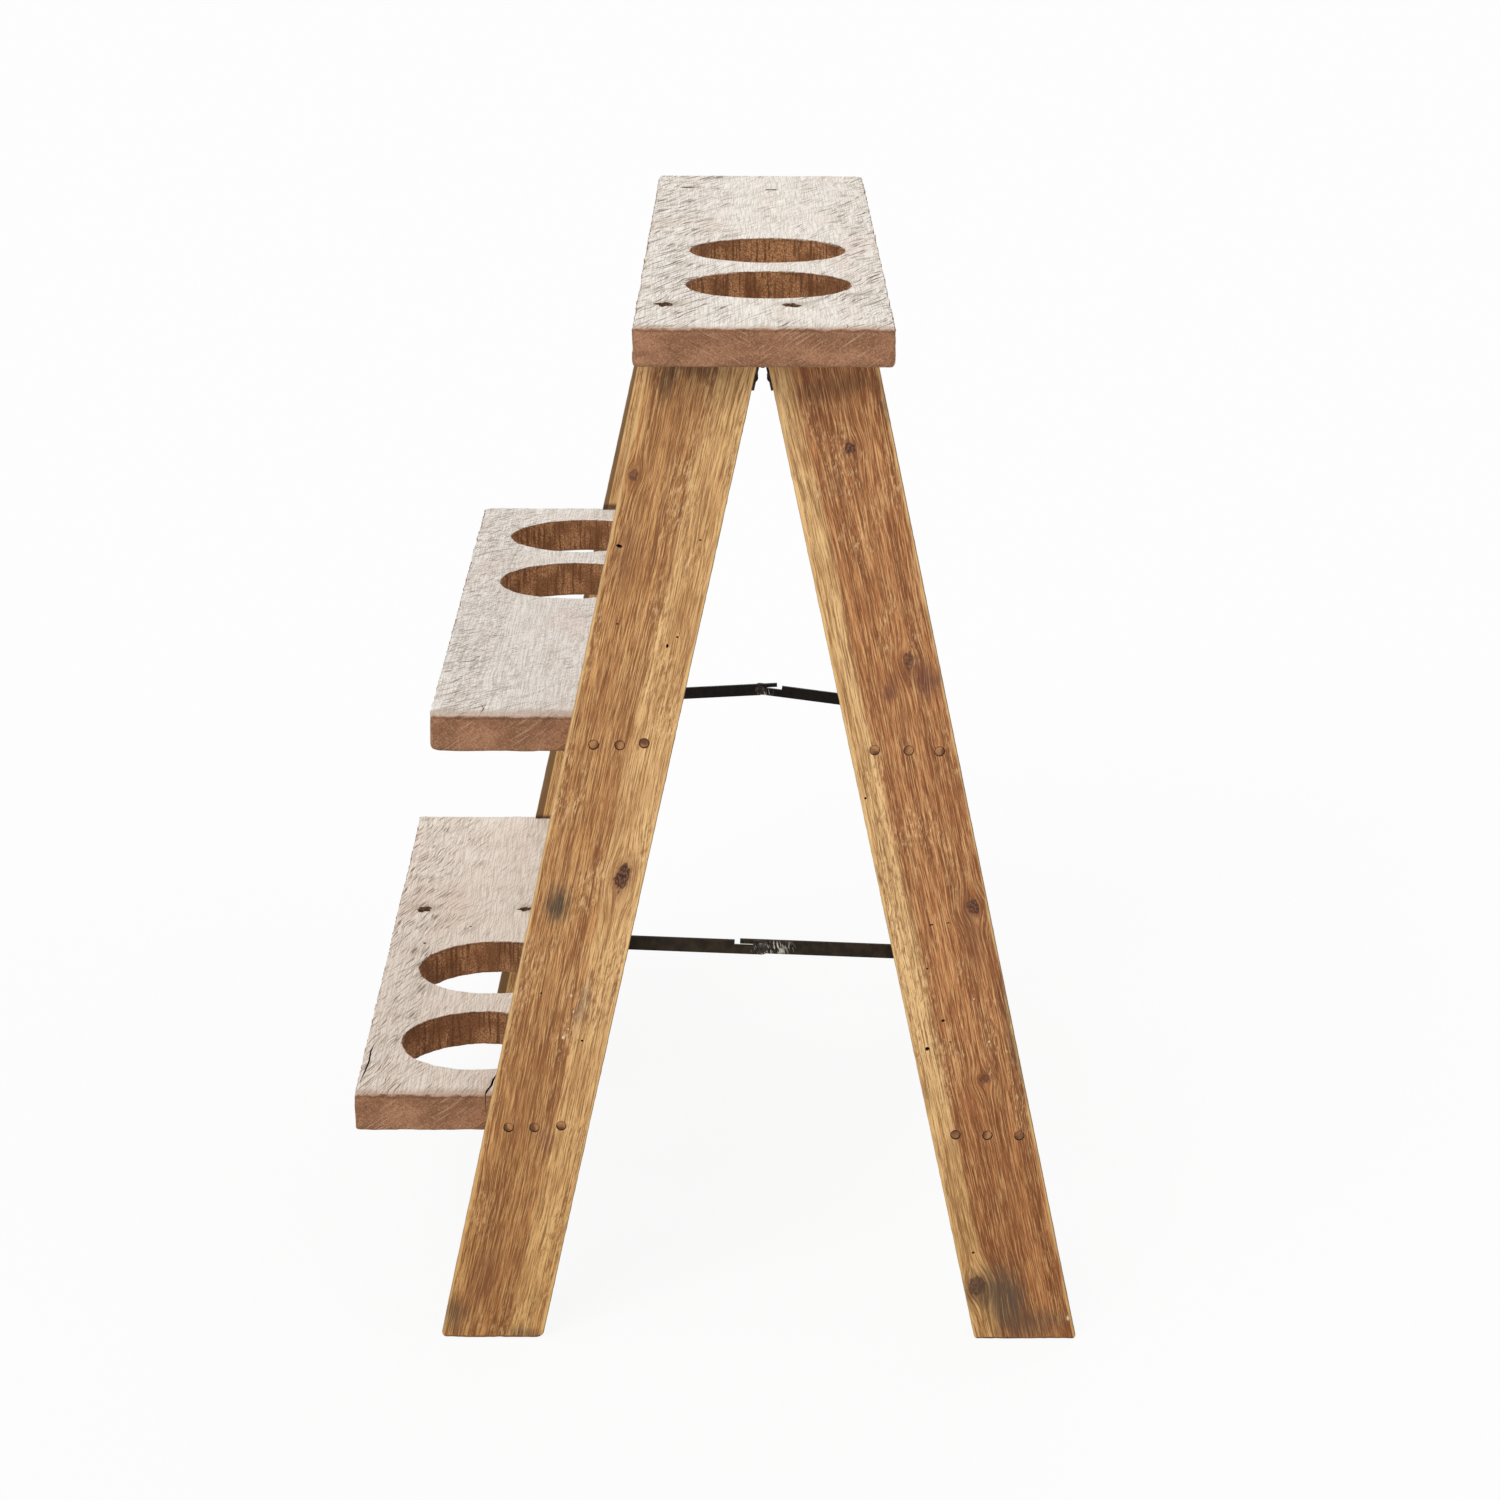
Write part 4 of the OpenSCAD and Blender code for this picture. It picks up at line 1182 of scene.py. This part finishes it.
def plugs(name, node, body, lean):
    """All plugs of a frame."""
    place, faces = [], []
    for side in (-1, 1):
        across, along, outward, foot_x = leg_axes(lean, side)
        foot = Vector((foot_x, side * LEG_OUTER_Y, 0))
        for number, (x, y) in enumerate(leg_plugs(lean, side)):
            sink = 0.55 + 0.35 * noise.noise(Vector((number * 3.1, side * 2.3, lean * 1.7)))
            tilt = 0.06 * noise.noise(Vector((number * 5.3, side, lean)))
            middle = foot + across * x + along * y
            plug(place, faces, middle, across, along, outward, sink, tilt)
    piece = mesh_object(name, np.array([tuple(p) for p in place]), faces, [0] * len(faces), [PLUG])
    piece.data.set_sharp_from_angle(angle=PLUG_SHARP_ANGLE)
    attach(piece, body)
    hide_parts(node)


step_tops = [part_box(node)[1].z / MM + 1 for node in HELD_BOARDS[1]]
leg("front_leg_right_wood", "front_leg_right", "front_frame", 1, -1,
    leg_material("front_right_pine", FRONT_TONES, (-1, -12), 1, FRONT_RIGHT_KNOTS,
                 FRONT_RIGHT_STAINS_AND_SHADE, FRONT_RIGHT_FLECKS, joints=(-1, step_tops)),
    FRONT_RIGHT_HOLES, seed=41, corners=((6, 6), (1, 1)))
leg("front_leg_left_wood", "front_leg_left", "front_frame", 1, 1,
    leg_material("front_left_pine", FRONT_TONES, (-1, 10), 2, FRONT_LEFT_KNOTS, LEFT_STAINS,
                 joints=(1, step_tops)),
    FRONT_LEFT_HOLES, seed=43, corners=((5, 6), (1, 1)),
    outer_edge=(9.0, 2.0))
leg("back_leg_right_wood", "back_leg_right", "back_frame", -1, -1,
    leg_material("back_right_pine", BACK_TONES, (1, -24), 3, BACK_RIGHT_KNOTS,
                 BACK_RIGHT_STAINS_AND_SHADE, BACK_RIGHT_FLECKS),
    BACK_RIGHT_HOLES, seed=47, corners=((3, 4), (1, 1)))
leg("back_leg_left_wood", "back_leg_left", "back_frame", -1, 1,
    leg_material("back_left_pine", BACK_TONES, (1, 5), 4, BACK_LEFT_KNOTS, LEFT_STAINS),
    BACK_LEFT_HOLES, seed=53, corners=((4, 4), (1, 1)),
    outer_edge=(-2.5, -2.5))
rail("upper_rail_wood", "upper_back_rail", 61, 5)
rail("lower_rail_wood", "lower_back_rail", 67, 4)
plugs("front_plug_ends", "step_screw_plugs", "front_frame", 1)
plugs("back_plug_ends", "rail_screw_plugs", "back_frame", -1)


# ---- metal that keeps its CAD shape ----

def dress(material, *nodes):
    """Gives nodes that keep their CAD shape a material."""
    for node in nodes:
        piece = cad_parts[node]
        piece.data.materials.clear()
        piece.data.materials.append(material)


dress(painted_steel("stay_black_near", (47, 36, 23), (27, 20, 12), ((58, -400, 380), (15, 9, 6))),
      "right_stay_front_bar", "right_stay_back_bar")
# The far stays: the near stays' paint made darker as painted shade, and their whitish patch is a
# painted glint
dress(painted_steel("stay_black_far_painted_shade", (24, 19, 15), (10, 8, 6), ((51, 398, 392), (9, 9, 6))),
      "left_stay_front_bar", "left_stay_back_bar")
dress(bare_steel("rivet_worn", (70, 66, 62), (40, 36, 33), 0.5),
      "right_stay_front_rivet", "right_stay_back_rivet", "left_stay_front_rivet",
      "left_stay_back_rivet", "front_pivot_washers", "back_pivot_washers",
      "front_pivot_screws", "back_pivot_screws")
dress(bare_steel("hinge_iron", (58, 50, 44), (34, 29, 26), 0.6),
      "hinge_front_leaf_right", "hinge_front_leaf_left", "hinge_back_leaf_right",
      "hinge_back_leaf_left", "hinge_pins", "hinge_front_screws", "hinge_back_screws")
dress(bare_steel("screw_zinc", (168, 160, 140), (120, 112, 96), 0.4), "step_screws", "rail_screws")
dress(butt_material("dowel_end"), "top_board_dowels")


# ---- studio ----

def shader(tree, kind, grey, strength=None):
    """A plain shader of one grey, where 1 is white."""
    node = tree.nodes.new("ShaderNode" + kind)
    node.inputs["Color"].default_value = (grey, grey, grey, 1)
    if strength is not None:
        node.inputs["Strength"].default_value = strength
    return node


def white_to_camera(tree, lit, white, share, output):
    """Shows a share of white to the camera and to glossy rays, and the lit shader otherwise."""
    rays = tree.nodes.new("ShaderNodeLightPath")
    seen = tree.nodes.new("ShaderNodeMath")
    seen.operation = "MAXIMUM"
    amount = tree.nodes.new("ShaderNodeMath")
    amount.operation = "MULTIPLY"
    amount.inputs[1].default_value = share
    mix = tree.nodes.new("ShaderNodeMixShader")
    for start, end in (
        (rays.outputs["Is Camera Ray"], seen.inputs[0]),
        (rays.outputs["Is Glossy Ray"], seen.inputs[1]),
        (seen.outputs[0], amount.inputs[0]),
        (amount.outputs[0], mix.inputs[0]),
        (lit.outputs[0], mix.inputs[1]),
        (white.outputs[0], mix.inputs[2]),
        (mix.outputs[0], output.inputs["Surface"]),
    ):
        tree.links.new(start, end)


def studio_floor():
    """A white floor: plain to the camera and glossy rays, but keeping the stand's shadow."""
    mesh = bpy.data.meshes.new("floor")
    corners = [(x * FLOOR_HALF, y * FLOOR_HALF, 0) for x, y in ((-1, -1), (1, -1), (1, 1), (-1, 1))]
    mesh.from_pydata(corners, [], [(0, 1, 2, 3)])
    floor = bpy.data.objects.new("floor", mesh)
    bpy.context.scene.collection.objects.link(floor)
    floor.location.z = -FLOOR_DROP
    material = bpy.data.materials.new("floor_white")
    material.use_nodes = True
    tree = material.node_tree
    tree.nodes.clear()
    lit = shader(tree, "BsdfDiffuse", FLOOR_GREY)
    white = shader(tree, "Emission", 1, strength=1.0)
    white_to_camera(tree, lit, white, FLOOR_WHITE, tree.nodes.new("ShaderNodeOutputMaterial"))
    mesh.materials.append(material)


def studio_world():
    """Even light from all round, white where the camera sees it."""
    world = bpy.data.worlds.new("studio")
    bpy.context.scene.world = world
    world.use_nodes = True
    tree = world.node_tree
    tree.nodes.clear()
    lit = shader(tree, "Background", 1, strength=WORLD_LIGHT)
    white = shader(tree, "Background", 1, strength=1.0)
    white_to_camera(tree, lit, white, 1.0, tree.nodes.new("ShaderNodeOutputWorld"))


def sun(name, direction, strength, softness):
    """A broad, even lamp that shines along a direction, with soft shadows."""
    lamp = bpy.data.lights.new(name, "SUN")
    lamp.energy = strength
    lamp.angle = math.radians(softness)
    holder = bpy.data.objects.new(name, lamp)
    bpy.context.scene.collection.objects.link(holder)
    holder.rotation_euler = Vector(direction).to_track_quat("-Z", "Y").to_euler()


def camera():
    """The photo's camera."""
    data = bpy.data.cameras.new("camera")
    data.sensor_width = CAMERA_SENSOR
    data.lens = CAMERA_LENS
    data.clip_end = CAMERA_REACH
    holder = bpy.data.objects.new("camera", data)
    bpy.context.scene.collection.objects.link(holder)
    ahead = Vector((
        math.sin(CAMERA_YAW) * math.cos(CAMERA_PITCH),
        math.cos(CAMERA_YAW) * math.cos(CAMERA_PITCH),
        -math.sin(CAMERA_PITCH),
    ))
    level = Vector((math.cos(CAMERA_YAW), -math.sin(CAMERA_YAW), 0))
    up = level.cross(ahead)
    right = level * math.cos(CAMERA_ROLL) + up * math.sin(CAMERA_ROLL)
    top = up * math.cos(CAMERA_ROLL) - level * math.sin(CAMERA_ROLL)
    holder.matrix_world = axes(CAMERA_PLACE, right, top, -ahead)
    bpy.context.scene.camera = holder


studio_floor()
studio_world()
sun("key", (0.45, 0.75, -0.85), strength=1.4, softness=35)
sun("fill", (-0.8, 0.5, -0.45), strength=0.55, softness=60)
sun("back", (-0.2, -0.8, -0.7), strength=0.55, softness=45)
camera()
bpy.context.scene.view_settings.view_transform = "Standard"
